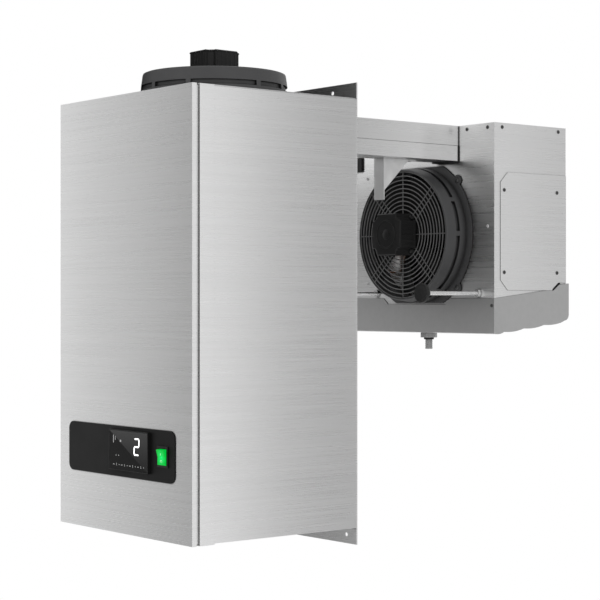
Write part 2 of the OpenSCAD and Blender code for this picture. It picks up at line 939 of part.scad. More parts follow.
// The slots round the bell, broken by short bridges
module fan_vents() {
    depth = (bell_r - throat_r) * 0.4;
    difference() {
        translate([0, 0, vent_low]) difference() {
            cylinder(h = vent_high - vent_low, r = bell_r + over);
            translate([0, 0, -over]) cylinder(h = vent_high - vent_low + 2 * over, r = bell_r - depth);
        }
        for (a = vent_bridges) rotate([0, 0, a])
            block([throat_r, -vent_bridge_w / 2, vent_low - over],
                  [bell_r + 2 * over, vent_bridge_w / 2, vent_high + over]);
    }
}

// Wire guard: rings on top of spokes, single along the axes and in pairs between them
guard_r = bell_r - bell_taper - bell_rim - bell_t * 0.2 - seat;

module spoke(offset) {
    block([motor_neck_r + over, offset - wire_t / 2, guard_z - 2 * wire_t + wire_lap],
          [guard_r - wire_t / 2, offset + wire_t / 2, guard_z - wire_t + wire_lap]);
}

module fan_guard() {
    union() {
        for (i = [0 : guard_rings - 1])
            rotate_extrude() translate([guard_r - wire_t - i * guard_pitch, guard_z - wire_t])
                square([wire_t, wire_t]);
        for (a = [0 : 90 : 270]) rotate([0, 0, a]) spoke(0);
        for (a = [45 : 90 : 315]) rotate([0, 0, a]) {
            spoke(-pair_gap / 2);
            spoke(pair_gap / 2);
        }
    }
}

module fan_motor() {
    half = motor_w / 2;
    inner = half - motor_notch;
    difference() {
        union() {
            translate([0, 0, motor_low]) linear_extrude(motor_top - motor_low)
                polygon([[inner, -half], [inner, -half + motor_notch / 2],
                         [half - motor_notch / 2, -inner], [half, -inner], [half, inner],
                         [half - motor_notch / 2, inner], [inner, half - motor_notch / 2],
                         [inner, half], [-inner, half], [-inner, half - motor_notch / 2],
                         [-half + motor_notch / 2, inner], [-half, inner], [-half, -inner],
                         [-half + motor_notch / 2, -inner], [-inner, -half + motor_notch / 2],
                         [-inner, -half]]);
            translate([0, 0, hub_top + neck_gap])
                cylinder(h = motor_low - hub_top - neck_gap + over, r = motor_neck_r);
        }
        translate([0, 0, hub_top]) cylinder(h = shaft_up + neck_gap, r = shaft_r + run);
    }
}

// Hub with its shaft and swept blades
module fan_impeller() {
    blade_z = hub_low + (hub_top - hub_low) * blade_z_share;
    union() {
        difference() {
            translate([0, 0, hub_low]) cylinder(h = hub_top - hub_low, r = hub_r);
            translate([0, 0, hub_low - over])
                cylinder(h = (hub_top - hub_low) * 0.6 + over, r = hub_r - blade_t);
        }
        translate([0, 0, hub_low]) cylinder(h = hub_top + shaft_up - hub_low, r = shaft_r);
        intersection() {
            difference() {
                cylinder(h = guard_z, r = impeller_r);
                translate([0, 0, -over]) cylinder(h = guard_z + 2 * over, r = hub_r - blade_t / 2);
            }
            for (i = [0 : blades - 1]) rotate([0, 0, i * 360 / blades])
                translate([0, 0, blade_z]) rotate([blade_pitch, 0, 0])
                    linear_extrude(blade_t, center = true)
                        polygon([[hub_r * 0.8, -blade_root_w / 2],
                                 [impeller_r * 0.62, -blade_root_w * 0.62],
                                 [impeller_r * 1.1, -blade_tip_w * 0.24],
                                 [impeller_r * 1.1, blade_tip_w / 2],
                                 [impeller_r * 0.7, blade_root_w * 0.74],
                                 [hub_r * 0.8, blade_root_w / 2]]);
        }
    }
}

module at_cond_fan() {
    translate([0, cond_fan_y, case_top]) children();
}

module at_evap_fan() {
    translate([0, evap_y, evap_fan_z]) rotate([90, 0, 0]) children();
}

module cond_fan_ring() {
    color([0.3, 0.3, 0.31]) at_cond_fan() fan_ring();
}

module cond_fan_guard() {
    color([0.25, 0.25, 0.25]) at_cond_fan() fan_guard();
}

module cond_fan_motor() {
    color([0.1, 0.1, 0.1]) at_cond_fan() fan_motor();
}

module cond_fan_impeller() {
    color([0.16, 0.16, 0.16]) at_cond_fan() fan_impeller();
}

module evap_fan_ring() {
    color([0.3, 0.3, 0.31]) at_evap_fan() fan_ring();
}

module evap_fan_guard() {
    color([0.25, 0.25, 0.25]) at_evap_fan() fan_guard();
}

module evap_fan_motor() {
    color([0.1, 0.1, 0.1]) at_evap_fan() fan_motor();
}

module evap_fan_impeller() {
    color([0.16, 0.16, 0.16]) at_evap_fan() fan_impeller();
}

// Refrigerant lines
stub_top = shell_low + shell_h + stub_h;
line_end = -(coil_half + end_t + tube_past + tube_free);
cond_in = cond_places[0];
cond_out = cond_places[2 * tubes_long - 1];
evap_in_at = evap_places[0];
evap_out_at = evap_places[2 * tubes_long - 1];

module filter_drier() {
    neck = drier_h * drier_neck_share;
    color("peru") translate([liquid_lane_x, drier_y, drier_top - drier_h]) rotate_extrude()
        polygon([[0, 0], [liquid_r, 0], [drier_r, neck], [drier_r, drier_h - neck],
                 [liquid_r, drier_h], [0, drier_h]]);
}

module discharge_line() {
    color("peru") pipe([
        [comp_x - stub_x, comp_y, stub_top], [comp_x - stub_x, comp_y, gas_z],
        [lane_x, comp_y, gas_z], [lane_x, cond_in.x, gas_z], [lane_x, cond_in.x, cond_in.y],
        [line_end, cond_in.x, cond_in.y]], gas_r, close_bend);
}

// Liquid tube from the condenser to the drier, and the capillary from there to the evaporator
module liquid_line() {
    turn_z = drier_top - drier_h - capillary_drop;
    color("peru") union() {
        pipe([[line_end, cond_out.x, cond_out.y], [liquid_lane_x, cond_out.x, cond_out.y],
              [liquid_lane_x, cond_out.x, liquid_lane_z], [liquid_lane_x, drier_y, liquid_lane_z],
              [liquid_lane_x, drier_y, drier_top]], liquid_r, 2 * liquid_r);
        pipe([[liquid_lane_x, drier_y, drier_top - drier_h], [liquid_lane_x, drier_y, turn_z],
              [liquid_x, drier_y, turn_z], [liquid_x, back_lane, turn_z],
              [liquid_x, back_lane, line_z], [liquid_x, capillary_turn_y, line_z],
              [lane_x, capillary_turn_y, line_z], [lane_x, capillary_turn_y, evap_in_at.y],
              [lane_x, evap_in_at.x, evap_in_at.y], [line_end, evap_in_at.x, evap_in_at.y]],
             capillary_r, close_bend);
    }
}

module suction_line() {
    color("peru") pipe([
        [line_end, evap_out_at.x, evap_out_at.y], [lane_x, evap_out_at.x, evap_out_at.y],
        [lane_x, evap_out_at.x, line_z], [lane_x, suction_turn_y, line_z],
        [suction_x, suction_turn_y, line_z], [suction_x, back_lane, line_z],
        [suction_x, back_lane, suction_z], [suction_x, comp_y, suction_z],
        [suction_x, comp_y, stub_top]],
        suction_r, wide_bend);
}

// Gland with its locknut inside the pan
module cable_gland() {
    color([0.13, 0.13, 0.13]) difference() {
        union() {
            translate([gland_x, gland_y, skin_bot - gland_hex_h])
                cylinder(h = gland_hex_h, r = gland_hex_r, $fn = 6);
            bar_z(gland_x, gland_y, skin_bot - gland_hex_h - gland_cap_h, skin_bot - gland_hex_h,
                  gland_hex_r * cos(30) - seat);
            bar_z(gland_x, gland_y, skin_bot, pan_top + gland_nut_h, gland_r);
            translate([gland_x, gland_y, pan_top]) cylinder(h = gland_nut_h, r = gland_hex_r, $fn = 6);
        }
        bar_z(gland_x, gland_y, skin_bot - gland_hex_h - gland_cap_h - over,
              pan_top + gland_nut_h + over, gland_bore_r);
    }
}

// Bridge: channel and cover go through the wall plate and end in flanges in front of it
bridge_y = -plate_t - sheet_t;

module passage(y0, y1) {
    block([bridge_x - passage_half, y0, passage_low], [bridge_x + passage_half, y1, passage_high]);
}

module bridge_walls(y1, z0, z1) {
    for (x = [bridge_left, bridge_right - sheet_t]) block([x, bridge_y, z0], [x + sheet_t, y1, z1]);
    for (x = [bridge_left - bridge_flange, bridge_right])
        block([x, bridge_y, z0], [x + bridge_flange, -plate_t, z1]);
}

module bridge_channel() {
    color("silver") union() {
        block([bridge_left, bridge_y, bridge_bot], [bridge_right, channel_y, bridge_bot + sheet_t]);
        bridge_walls(channel_y, bridge_bot, seam_z);
        block([bridge_left - bridge_flange, bridge_y, bridge_bot - bridge_flange],
              [bridge_right + bridge_flange, -plate_t, bridge_bot]);
        for (x = [bridge_left + sheet_t, bridge_right - 2 * sheet_t])
            block([x, bridge_y, seam_z - lap_down], [x + sheet_t, channel_y, seam_z + lap_up]);
    }
}

module bridge_cover() {
    end_y = evap_y - cover_gap;
    color("silver") union() {
        block([bridge_left, bridge_y, bridge_top - sheet_t], [bridge_right, end_y, bridge_top]);
        bridge_walls(end_y, seam_z + seam_gap, bridge_top);
        block([bridge_left - bridge_flange, bridge_y, bridge_top],
              [bridge_right + bridge_flange, -plate_t, bridge_top + bridge_flange]);
    }
}

module bridge_insulation() {
    side = 2 * sheet_t + seat;
    color("tan") difference() {
        block([bridge_left + side, bridge_y, bridge_bot + sheet_t],
              [bridge_right - side, channel_y, bridge_top - sheet_t]);
        passage(bridge_y - over, channel_y + over);
    }
}

module bridge_gasket() {
    side = sheet_t + seat;
    low = bridge_bot - gasket_sag;
    color([0.1, 0.1, 0.1]) difference() {
        union() {
            block([bridge_left, channel_y, low], [bridge_right, evap_y, seam_z]);
            block([bridge_left + side, channel_y, seam_z],
                  [bridge_right - side, evap_y, bridge_top - sheet_t - seat]);
            block([bridge_left, channel_y - gasket_len, low], [bridge_right, channel_y, bridge_bot]);
        }
        passage(channel_y - over, evap_y + over);
    }
}

// The hook that grips the wall's cold side, with its gusset and its tab under the bridge
module wall_hook() {
    tip = bridge_bot - hook_drop;
    gusset_z = bridge_bot - hook_drop * gusset_drop_share;
    color("lightgrey") union() {
        block([hook_x - hook_w, wall_gap, tip], [hook_x, wall_gap + hook_t, bridge_bot]);
        block([hook_x - hook_w, wall_gap, bridge_bot - hook_t], [hook_x, wall_gap + hook_tab, bridge_bot]);
        side_slab(hook_x - hook_t, hook_x)
            polygon([[wall_gap, bridge_bot], [wall_gap, gusset_z], [wall_gap + hook_t, gusset_z],
                     [wall_gap + gusset_len, bridge_bot - hook_t], [wall_gap + gusset_len, bridge_bot]]);
    }
}

// Evaporator casing
outer_x = half_w - screw_edge;
inner_x = half_w - screw_inner;
front_screws = [
    [outer_x, evap_top - screw_drop], [inner_x, evap_top - screw_drop],
    [outer_x, evap_top - screw_mid_drop],
    [-outer_x, evap_top - screw_drop], [-inner_x, evap_top - screw_drop],
    [-half_w + screw_left_in, evap_top - screw_left_drop],
    [-half_w + screw_left_in, lip_z + screw_left_rise]];
tray_screws = [for (s = [-1, 1]) [s * (half_w - tray_screw_in), lip_z - tray_screw_drop]];
casing_side_screws = [for (y = [evap_y + side_screw_in, evap_back - side_screw_in])
                      [y, evap_top - screw_drop]];
door_screws = [for (y = [evap_y + door_screw_in, evap_back - door_screw_in],
                    z = [evap_top - door_top_drop - door_screw_edge, door_low + door_screw_edge])
               [y, z]];

module evap_front_panel() {
    back = evap_y + evap_t;
    color("silver") difference() {
        block([-evap_half, evap_y, panel_low], [evap_half, back, evap_top]);
        at_evap_fan() translate([0, 0, -evap_t - over]) {
            cylinder(h = evap_t + 2 * over, r = throat_r);
            fan_ears() cylinder(h = evap_t + 2 * over, r = ear_hole_r);
        }
        passage(evap_y - over, back + over);
        for (x = [rod_x_left, rod_x_right]) bar_y(x, evap_y - over, back + over, rod_z, rod_r + seat);
        for (p = concat(front_screws, tray_screws))
            bar_y(p.x, evap_y - over, back + over, p.y, screw_r + seat);
        block([grommet_x - grommet_neck / 2 - seat, evap_y - over, grommet_z - grommet_neck / 2 - seat],
              [grommet_x + grommet_neck / 2 + seat, back + over, grommet_z + grommet_neck / 2 + seat]);
    }
}

module evap_top_panel() {
    color("silver") block([-evap_half, evap_y + evap_t, evap_top - evap_t],
                          [evap_half, evap_back, evap_top]);
}

// The step in the tray's side edge: start and end of the slope, as [y, z]
step_from = [evap_y + tray_step_at, lip_z + tray_side_rise];
step_to = step_from + [tray_step_run, tray_step_rise];

module evap_side(side) {
    x0 = side > 0 ? evap_in : -evap_half;
    front = evap_y + evap_t;
    difference() {
        side_slab(x0, x0 + evap_t) difference() {
            translate([front, skin_low]) square([evap_back - front, evap_top - evap_t - skin_low]);
            polygon([step_from + [-step_gap, -step_gap], step_from + [-step_gap, step_gap * 0.4],
                     step_from + [-step_gap * 0.3, step_gap * 1.2], step_to + [-step_gap * 0.6, step_gap],
                     step_to + [step_gap, step_gap], step_to + [step_gap, -step_gap],
                     step_from + [step_gap, -step_gap]]);
        }
        for (p = concat(casing_side_screws, door_screws))
            bar_x(x0 - over, x0 + evap_t + over, p.x, p.y, screw_r + seat);
    }
}

module evap_side_left() {
    color("silver") evap_side(-1);
}

module evap_side_right() {
    color("silver") evap_side(1);
}

module evap_cover(side) {
    x0 = side > 0 ? evap_half : -evap_half - door_t;
    front = evap_y + door_front;
    top = evap_top - door_top_drop;
    difference() {
        side_slab(x0, x0 + door_t)
            polygon([[front, door_low + door_corner], [front + door_corner, door_low],
                     step_from + [-step_gap, seat], step_from + [-step_gap, step_gap * 0.4],
                     step_from + [-step_gap * 0.3, step_gap * 1.2], step_to + [-step_gap * 0.6, step_gap],
                     step_to + [step_gap, step_gap], [evap_back, step_to.y + step_gap],
                     [evap_back, top], [front + door_corner, top], [front, top - door_corner]]);
        for (p = door_screws) bar_x(x0 - over, x0 + door_t + over, p.x, p.y, screw_r + seat);
    }
}

module evap_cover_left() {
    color("silver") evap_cover(-1);
}

module evap_cover_right() {
    color("silver") evap_cover(1);
}

// Rear frame with tilted louvres
module evap_rear_grille() {
    z0 = skin_low;
    z1 = evap_top - evap_t;
    open_low = step_to.y + grille_frame;
    open_high = z1 - grille_frame;
    half = evap_in - grille_frame;
    pitch = (open_high - open_low) / (louvres + 1);
    color("silver") union() {
        difference() {
            block([-evap_in, evap_back - evap_t, z0], [evap_in, evap_back, z1]);
            block([-half, evap_back - evap_t - over, open_low], [half, evap_back + over, open_high]);
        }
        for (i = [1 : louvres])
            translate([0, evap_back - evap_t / 2, open_low + i * pitch]) rotate([louvre_tilt, 0, 0])
                block([-half, -louvre_d / 2, -louvre_t / 2], [half, louvre_d / 2, louvre_t / 2]);
        for (s = [-1, 1]) {
            x0 = s > 0 ? half - evap_t : -half;
            block([x0, evap_back - evap_t - louvre_d / 2, open_low - over],
                  [x0 + evap_t, evap_back, open_high + over]);
        }
    }
}

module cable_grommet() {
    color([0.08, 0.08, 0.08]) union() {
        block([grommet_x - grommet_w / 2, evap_y - grommet_proud, grommet_z - grommet_w / 2],
              [grommet_x + grommet_w / 2, evap_y, grommet_z + grommet_w / 2]);
        block([grommet_x - grommet_neck / 2, evap_y, grommet_z - grommet_neck / 2],
              [grommet_x + grommet_neck / 2, evap_y + grommet_depth, grommet_z + grommet_neck / 2]);
    }
}

// Drip tray: a side outline whose floor climbs to the back in shallow humps
tray_len = tray_back - tray_front;

function floor_z(y) = tray_low + tray_rise * (y - tray_front) / tray_len;

function hump(i, t) =
    let (y = tray_front + tray_len * (hump_shares[i] + t * (hump_shares[i + 1] - hump_shares[i])))
    [y, floor_z(y) - hump_sag * 4 * t * (1 - t)];

hump_steps = 6;
tray_outline = concat(
    [for (i = [0 : len(hump_shares) - 2], k = [0 : hump_steps - 1]) hump(i, k / hump_steps)],
    [for (a = [-90 : 15 : 0]) [tray_back - tray_corner + tray_corner * cos(a),
                               tray_back_low + tray_corner + tray_corner * sin(a)]],
    [[tray_back, step_to.y + tray_back_rise], step_to, step_from,
     [evap_y + tray_level_at, step_from.y], [tray_front, lip_z]]);

module tray_notch() {
    translate([0, tray_front + tray_t + over, 0]) rotate([90, 0, 0]) linear_extrude(tray_t + 2 * over)
        polygon([[notch_left, lip_z - notch_low], [notch_right, lip_z - notch_low],
                 [notch_right + notch_run, lip_z], [notch_right + notch_run, lip_z + over],
                 [notch_left - notch_run, lip_z + over], [notch_left - notch_run, lip_z]]);
}

module drip_tray() {
    drain_z = floor_z(drain_y);
    inner_corner = tray_corner - tray_t;
    color("darkgrey") difference() {
        union() {
            side_slab(-half_w, half_w) polygon(tray_outline);
            bar_z(0, drain_y, drain_z - boss_h, drain_z + tray_t, boss_r);
        }
        side_slab(-half_w + tray_t, half_w - tray_t)
            polygon(concat(
                [[tray_front + tray_t, floor_z(tray_front + tray_t) + tray_t]],
                [for (a = [-90 : 15 : 0]) [tray_back - tray_corner + inner_corner * cos(a),
                                           tray_back_low + tray_corner + inner_corner * sin(a)]],
                [[tray_back - tray_t, case_top], [tray_front + tray_t, case_top]]));
        tray_notch();
        bar_z(0, drain_y, drain_z - boss_h - over, drain_z + tray_face_h, drain_shank_r + seat);
        bar_z(0, drain_y, drain_z - boss_h - nut_h, drain_z - boss_h, nut_r + seat);
        for (p = tray_screws) bar_y(p.x, tray_front - over, evap_y, p.y, screw_r + seat);
    }
}

// Spigot through the tray's floor, with its nut, and grooves that leave barbs
drain_base = floor_z(drain_y) - boss_h;
drain_end = drain_base - nut_h - seal_h - drain_len;
drain_neck = drain_end + drain_len - drain_neck_past;

module drain_spigot() {
    inside = floor_z(drain_y) + tray_t + tray_rise * drain_flange_r / tray_len + seat;
    pitch = drain_len / (barbs + 1);
    color("grey") difference() {
        union() {
            bar_z(0, drain_y, drain_end, drain_neck, drain_r);
            bar_z(0, drain_y, drain_neck, drain_base - nut_h, drain_r - drain_neck_in);
            bar_z(0, drain_y, drain_base - nut_h, inside, drain_shank_r);
            bar_z(0, drain_y, inside, inside + drain_flange_t, drain_flange_r);
            translate([0, drain_y, drain_base - nut_h]) cylinder(h = nut_h, r = nut_r, $fn = 6);
        }
        bar_z(0, drain_y, drain_end - over, inside + drain_flange_t + over, drain_bore_r);
        for (i = [1 : barbs]) translate([0, drain_y, drain_end + i * pitch]) difference() {
            cylinder(h = pitch * barb_share, r = drain_r + over);
            translate([0, 0, -over]) cylinder(h = pitch * barb_share + 2 * over, r = drain_r - barb_depth);
        }
    }
}

module drain_seal() {
    low = drain_base - nut_h - seal_h;
    color([0.08, 0.08, 0.08]) difference() {
        bar_z(0, drain_y, low, drain_base - nut_h, seal_r);
        bar_z(0, drain_y, low - over, drain_base - nut_h + over, drain_r - drain_neck_in + seat);
    }
}

// Spacer rods through nuts on the evaporator's face, with rubber feet towards the wall
module spacer_rod(x) {
    bar_y(x, rod_front, evap_y + rod_tail, rod_z, rod_r);
}

module spacer_foot(x) {
    difference() {
        union() {
            bar_y(x, foot_y, foot_y + foot_pad_t, rod_z, foot_r);
            bar_y(x, foot_y + foot_pad_t, foot_y + foot_pad_t + foot_hub_len, rod_z, foot_hub_r);
        }
        bar_y(x, rod_front, foot_y + foot_pad_t + foot_hub_len + over, rod_z, rod_r + run);
    }
}

module spacer_rod_left() {
    color("silver") spacer_rod(rod_x_left);
}

module spacer_rod_right() {
    color("silver") spacer_rod(rod_x_right);
}

module spacer_foot_left() {
    color([0.12, 0.12, 0.12]) spacer_foot(rod_x_left);
}

module spacer_foot_right() {
    color([0.12, 0.12, 0.12]) spacer_foot(rod_x_right);
}

module spacer_nuts() {
    color("silver") for (x = [rod_x_left, rod_x_right]) difference() {
        translate([x, evap_y, rod_z]) rotate([90, 0, 0]) cylinder(h = nut_t, r = nut_flats_r, $fn = 6);
        bar_y(x, evap_y - nut_t - over, evap_y + over, rod_z, rod_r + run);
    }
}

// Screws: the head stands on the sheet at z = 0, the shank goes down
module screw(head_r, head_h, r, length) {
    cylinder(h = head_h, r = head_r);
    translate([0, 0, -length]) cylinder(h = length, r = r);
}

module casing_screw() {
    screw(screw_head_r, screw_head_h, screw_r, screw_len);
}

module fan_screws() {
    translate([0, 0, flange_t]) fan_ears()
        screw(fan_screw_head_r, fan_screw_head_h, fan_screw_r, fan_screw_len);
}

module casing_screws() {
    color([0.15, 0.15, 0.15]) union() {
        for (p = front_screws) translate([p.x, evap_y, p.y]) rotate([90, 0, 0]) casing_screw();
        for (p = tray_screws) translate([p.x, tray_front, p.y]) rotate([90, 0, 0]) casing_screw();
        for (s = [-1, 1]) {
            for (p = casing_side_screws)
                translate([s * evap_half, p.x, p.y]) rotate([0, s * 90, 0]) casing_screw();
            for (p = door_screws)
                translate([s * (evap_half + door_t), p.x, p.y]) rotate([0, s * 90, 0]) casing_screw();
        }
        at_cond_fan() fan_screws();
        at_evap_fan() fan_screws();
    }
}

front_panel();
front_frame();
side_panel_left();
side_panel_right();
top_panel();
base_pan();
wall_plate();
fascia_plate();
controller_body();
display_glass();
display_digit();
rocker_frame();
rocker_button();
control_box();
control_box_cover();
terminal_block();
compressor_shell();
compressor_pump();
compressor_grommets();
compressor_terminal_cover();
condenser_fins();
condenser_tubes();
cond_fan_ring();
cond_fan_guard();
cond_fan_motor();
cond_fan_impeller();
filter_drier();
discharge_line();
liquid_line();
suction_line();
cable_gland();
bridge_channel();
bridge_cover();
bridge_insulation();
bridge_gasket();
wall_hook();
evap_front_panel();
evap_top_panel();
evap_side_left();
evap_side_right();
evap_cover_left();
evap_cover_right();
evap_rear_grille();
evap_fins();
evap_tubes();
evap_fan_ring();
evap_fan_guard();
evap_fan_motor();
evap_fan_impeller();
drip_tray();
drain_spigot();
drain_seal();
spacer_rod_left();
spacer_rod_right();
spacer_foot_left();
spacer_foot_right();
spacer_nuts();
cable_grommet();
casing_screws();
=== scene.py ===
import json
import math

import bpy
from mathutils import Matrix, Vector


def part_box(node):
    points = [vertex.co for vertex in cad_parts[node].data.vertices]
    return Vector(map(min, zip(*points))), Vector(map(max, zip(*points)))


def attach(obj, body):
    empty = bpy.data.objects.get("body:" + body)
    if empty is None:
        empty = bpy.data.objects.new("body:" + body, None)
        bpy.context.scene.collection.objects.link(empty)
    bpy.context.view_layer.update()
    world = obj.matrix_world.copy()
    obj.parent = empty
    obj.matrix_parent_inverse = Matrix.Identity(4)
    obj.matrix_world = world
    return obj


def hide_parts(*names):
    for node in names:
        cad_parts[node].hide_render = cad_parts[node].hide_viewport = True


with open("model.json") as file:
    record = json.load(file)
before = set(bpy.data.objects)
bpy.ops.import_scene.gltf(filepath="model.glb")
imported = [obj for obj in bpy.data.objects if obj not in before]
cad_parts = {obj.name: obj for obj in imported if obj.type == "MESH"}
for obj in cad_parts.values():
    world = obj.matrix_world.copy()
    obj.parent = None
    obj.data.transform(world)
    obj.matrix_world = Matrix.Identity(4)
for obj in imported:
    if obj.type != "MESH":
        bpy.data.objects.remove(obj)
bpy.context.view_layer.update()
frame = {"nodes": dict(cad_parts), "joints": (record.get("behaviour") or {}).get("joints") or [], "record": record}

MM = 0.001

# Camera, as in the photograph
CAMERA_AT = (2.4282, -1.9090, 0.0234)
CAMERA_TURN = 51.3
CAMERA_LENS = 102.35
SENSOR = 36

# Wire guard, in millimetres
GUARD_RINGS = 10
GUARD_PITCH = 8
WIRE_R = 1.05
WIRE_LAP = 0.4
PAIR_GAP = 12
LOOP_AT = 45
LOOP_STEPS = 12
SPOKE_FROM = 37

# Share of its solid's width that each fan's motor takes, as in the photograph
MOTOR_SHARES = {"cond": 0.93, "evap": 1.0}

# Fan motor, in millimetres; its foot stands clear of the impeller's hub
MOTOR_CLEAR = 4.3
MOTOR_NOTCH = 13
MOTOR_INSET = 0.8
MOTOR_FOOT = 3.5
MOTOR_CAP = 4
MOTOR_CHAMFER = 1.6
MOTOR_SINK = 0.6
NECK_R = 34
NECK_GAP = 1
RIB_SPOTS = (-18, -9, 0, 9, 18)
RIB_HALF = 1
RIB_ROOT = 0.2
RIB_SHY = 0.1

# Forms turned about the motor's axis or a boss's: radius, and level from the motor's top or foot
CAP_RING = ((24, -1), (24.6, 0), (27, 0), (27.6, -1))
CAP_DISC = ((0, -0.2), (9, -0.2), (10.5, -1))
BOSS = ((0, 0), (4.2, 0), (4.2, 6), (3, 8.2), (0, 9))

# Impeller, in millimetres above the flange
HUB_R = 40
HUB_WALL = 3
HUB_LOW = 8
HUB_TOP = 42.5
HUB_BEVEL = 4
HUB_EDGE = 1.2
HUB_WEB = 28
HUB_RIBS = 6
SLEEVE_R = 11
SLEEVE_LOW = 10
SHAFT_R = 5
SHAFT_TOP = 64.5
BLADES = 7
BLADE_ROOT = 38
BLADE_TIP = 112
ROOT_CHORD = 52
TIP_CHORD = 90
ROOT_PITCH = 36
TIP_PITCH = 24
BLADE_SKEW = 9
BLADE_CAMBER = 4.5
BLADE_T = 2.2
BLADE_LEVEL = 23.9
BLADE_CUTS = 12
BLADE_ROWS = 10
EDGE_THINNING = 0.7
CORNER_ROUNDING = 0.035

# Coils, in millimetres; a skirt reaches below the solid
COIL_HALF = 150
COIL_FINS = 74
FIN_T = 0.3
END_T = 1.2
END_FLANGE = 16
COND_COIL_H = 50
COND_SKIRT = 0
EVAP_SKIRT = 11
EVAP_COIL_DROP = 16

# Threads of the spacer rods, in millimetres; the last quarter turns taper to a share
THREAD_PITCH = 1.25
THREAD_DEPTH = 0.55
THREAD_SIDES = 20
TAPER_END = 0.7
TAPER_QUARTERS = 3

# Rubber feet, in millimetres: pad by radius from its rim and level, neck by radius and level,
# hub's end by radius and level from its end, and the hub's share of the length
FOOT_PAD = ((-5, 0.6), (-4, 0), (-1.2, 0), (0, 1.2), (0, 5), (-1, 7), (-3.5, 8))
FOOT_NECK = ((12, 8.6), (9.6, 10.5), (8.6, 13))
FOOT_END = ((8, -2.4), (7.4, -0.8), (6.6, 0))
FOOT_HUB_SHARE = 0.74
FOOT_BORE_LEVEL = 9
FOOT_BORE_GAP = 0.2

# Screws, in millimetres: those with a smaller radius have the lower head,
# and those of them between the two levels on the front are pale
SMALL_SCREW_R = 4
LOW_HEAD = 1.6
HIGH_HEAD = 2.6
PALE_LEVELS = (20, 300)

# Screw head: radius and level as shares, its recess inside, and how much the recess waves
HEAD_DOME = ((0.0, 0.0), (1.0, 0.0), (1.0, 0.35), (0.92, 0.62), (0.72, 0.85), (0.5, 0.96))
HEAD_RECESS = ((0.42, 1.0), (0.4, 0.35), (0.0, 0.3))
RECESS_WAVE = 0.42
HEAD_STEPS = 32
SHANK_TIP = 0.4
SHANK_TOP = 0.52
SHANK_CONE = 1
SHANK_LAP = 0.1

# Lit digit, in millimetres; it leans by the slant and stands right of its solid by the shift
SEGMENT_W = 2.5
SEGMENT_T = 0.35
SEGMENT_GAP = 0.3
DIGIT_LEFT = 1
DIGIT_RIGHT = 0.5
DIGIT_SLANT = 0.05
DIGIT_SHIFT = 2.4

# Marks on the display: place as shares of the window, half width and half height in millimetres
MARK_T = 0.25
ROW_MARKS = 12
ROW_START = 0.12
ROW_STEP = 0.072
ROW_LEVEL = 0.12
ROW_SIZES = ((2.2, 0.5), (0.45, 2.0), (0.8, 0.8))
UPPER_MARKS = (
    (0.11, 0.78, 0.8, 6.5),
    (0.16, 0.8, 0.5, 3.4),
    (0.3, 0.74, 1.8, 1.8),
    (0.18, 0.36, 0.8, 0.8),
    (0.25, 0.36, 0.8, 0.8),
)

# Rocker's lens, in millimetres from its pivot
ROCKER_TILT = 7
ROCKER_BORDER = 4.4
LENS_HALF = 12.6
LENS_FRONT = 8.0
LENS_VALLEY = 1.6
LENS_BACK = 7
LENS_HEEL = 0.7
LENS_STEPS = 16
LENS_CURVE = 1.2
PIN_R = 1.5
PIN_LENGTH = 2.1

# Half width and half height of the rocker's lit spot, in metres
GLOW_HALF = (0.012, 0.014)

# The rocker's raised bar and ring, in millimetres
SIGN_SINK = 0.25
BAR_HALF = (0.5, 2.4)
BAR_FROM = -0.15
BAR_TO = 0.3
RING_R = 2.1
RING_WIRE = 0.42
RING_STEPS = 32

# Painted shade in grooves: width in metres below which they darken, and how far
SHEET_SHADE_REACH = 0.006
SHEET_SHADE_DARKEST = 0.1
RING_SHADE_REACH = 0.014
MOULDING_SHADE_DARKEST = 0.05

# Pieces whose finish isn't that of their slot
OWN_FINISH = {
    "top_panel": "lengthwise_stainless",
    "bridge_channel": "lengthwise_stainless",
    "bridge_cover": "lengthwise_stainless",
    "evap_top_panel": "lengthwise_stainless",
    "wall_hook": "hook_steel",
}

# Body that each fan's impeller rides on
IMPELLER_BODIES = {"cond": "condenser_impeller", "evap": "evaporator_impeller"}

# Soft lamps: place and width in metres, power in watts
LAMPS = {
    "key": ((-1.6, -2.2, 1.6), 1.6, 30),
    "fill": ((2.6, -1.2, 0.6), 1.6, 46),
    "top": ((0.2, 0.1, 2.4), 1.8, 12),
}

# Reflector cards: start and end in x and y, lowest and highest level, in metres,
# and (share of the way from start to end, brightness)
CARDS = {
    "front_card": ((-1.25, -0.25), (-0.45, -1.5), -1.6, 1.6,
                   ((0.0, 1.3), (0.26, 1.25), (0.5, 0.66), (0.68, 0.35), (1.0, 0.3))),
    "side_card": ((1.1, 0.1), (1.1, 1.9), -1.6, 1.6,
                  ((0.0, 1.05), (0.13, 1.0), (0.25, 0.6), (0.36, 0.42), (0.5, 0.6), (0.62, 0.95),
                   (0.78, 0.6), (1.0, 0.55))),
    "wall_card": ((-1.0, 0.004), (0.02, 0.004), 0.03, 0.31,
                  ((0.0, 0.45), (0.42, 0.3), (0.68, 0.06), (0.82, 0.03), (1.0, 0.1))),
    "tray_card": ((-1.0, 0.004), (0.02, 0.004), -0.3, 0.03,
                  ((0.0, 0.6), (0.45, 0.5), (0.8, 0.4), (1.0, 0.6))),
    "upper_lip_card": ((-0.16, -0.004), (-0.16, -0.34), 0.37, 0.7,
                       ((0.0, 0.08), (0.3, 0.01), (1.0, 0.01))),
    "lower_lip_card": ((-0.16, -0.004), (-0.16, -0.34), -0.6, -0.375,
                       ((0.0, 0.3), (1.0, 0.3))),
}

# Surroundings and floor, in metres
WORLD_STRENGTH = 0.55
FLOOR_LEVEL = -1.2
FLOOR_R = 3.4
FLOOR_GREY = 0.8
FLOOR_LIFT = 0.4

WHITE = (1, 1, 1, 1)


def grey(level):
    return (level, level, level, 1)


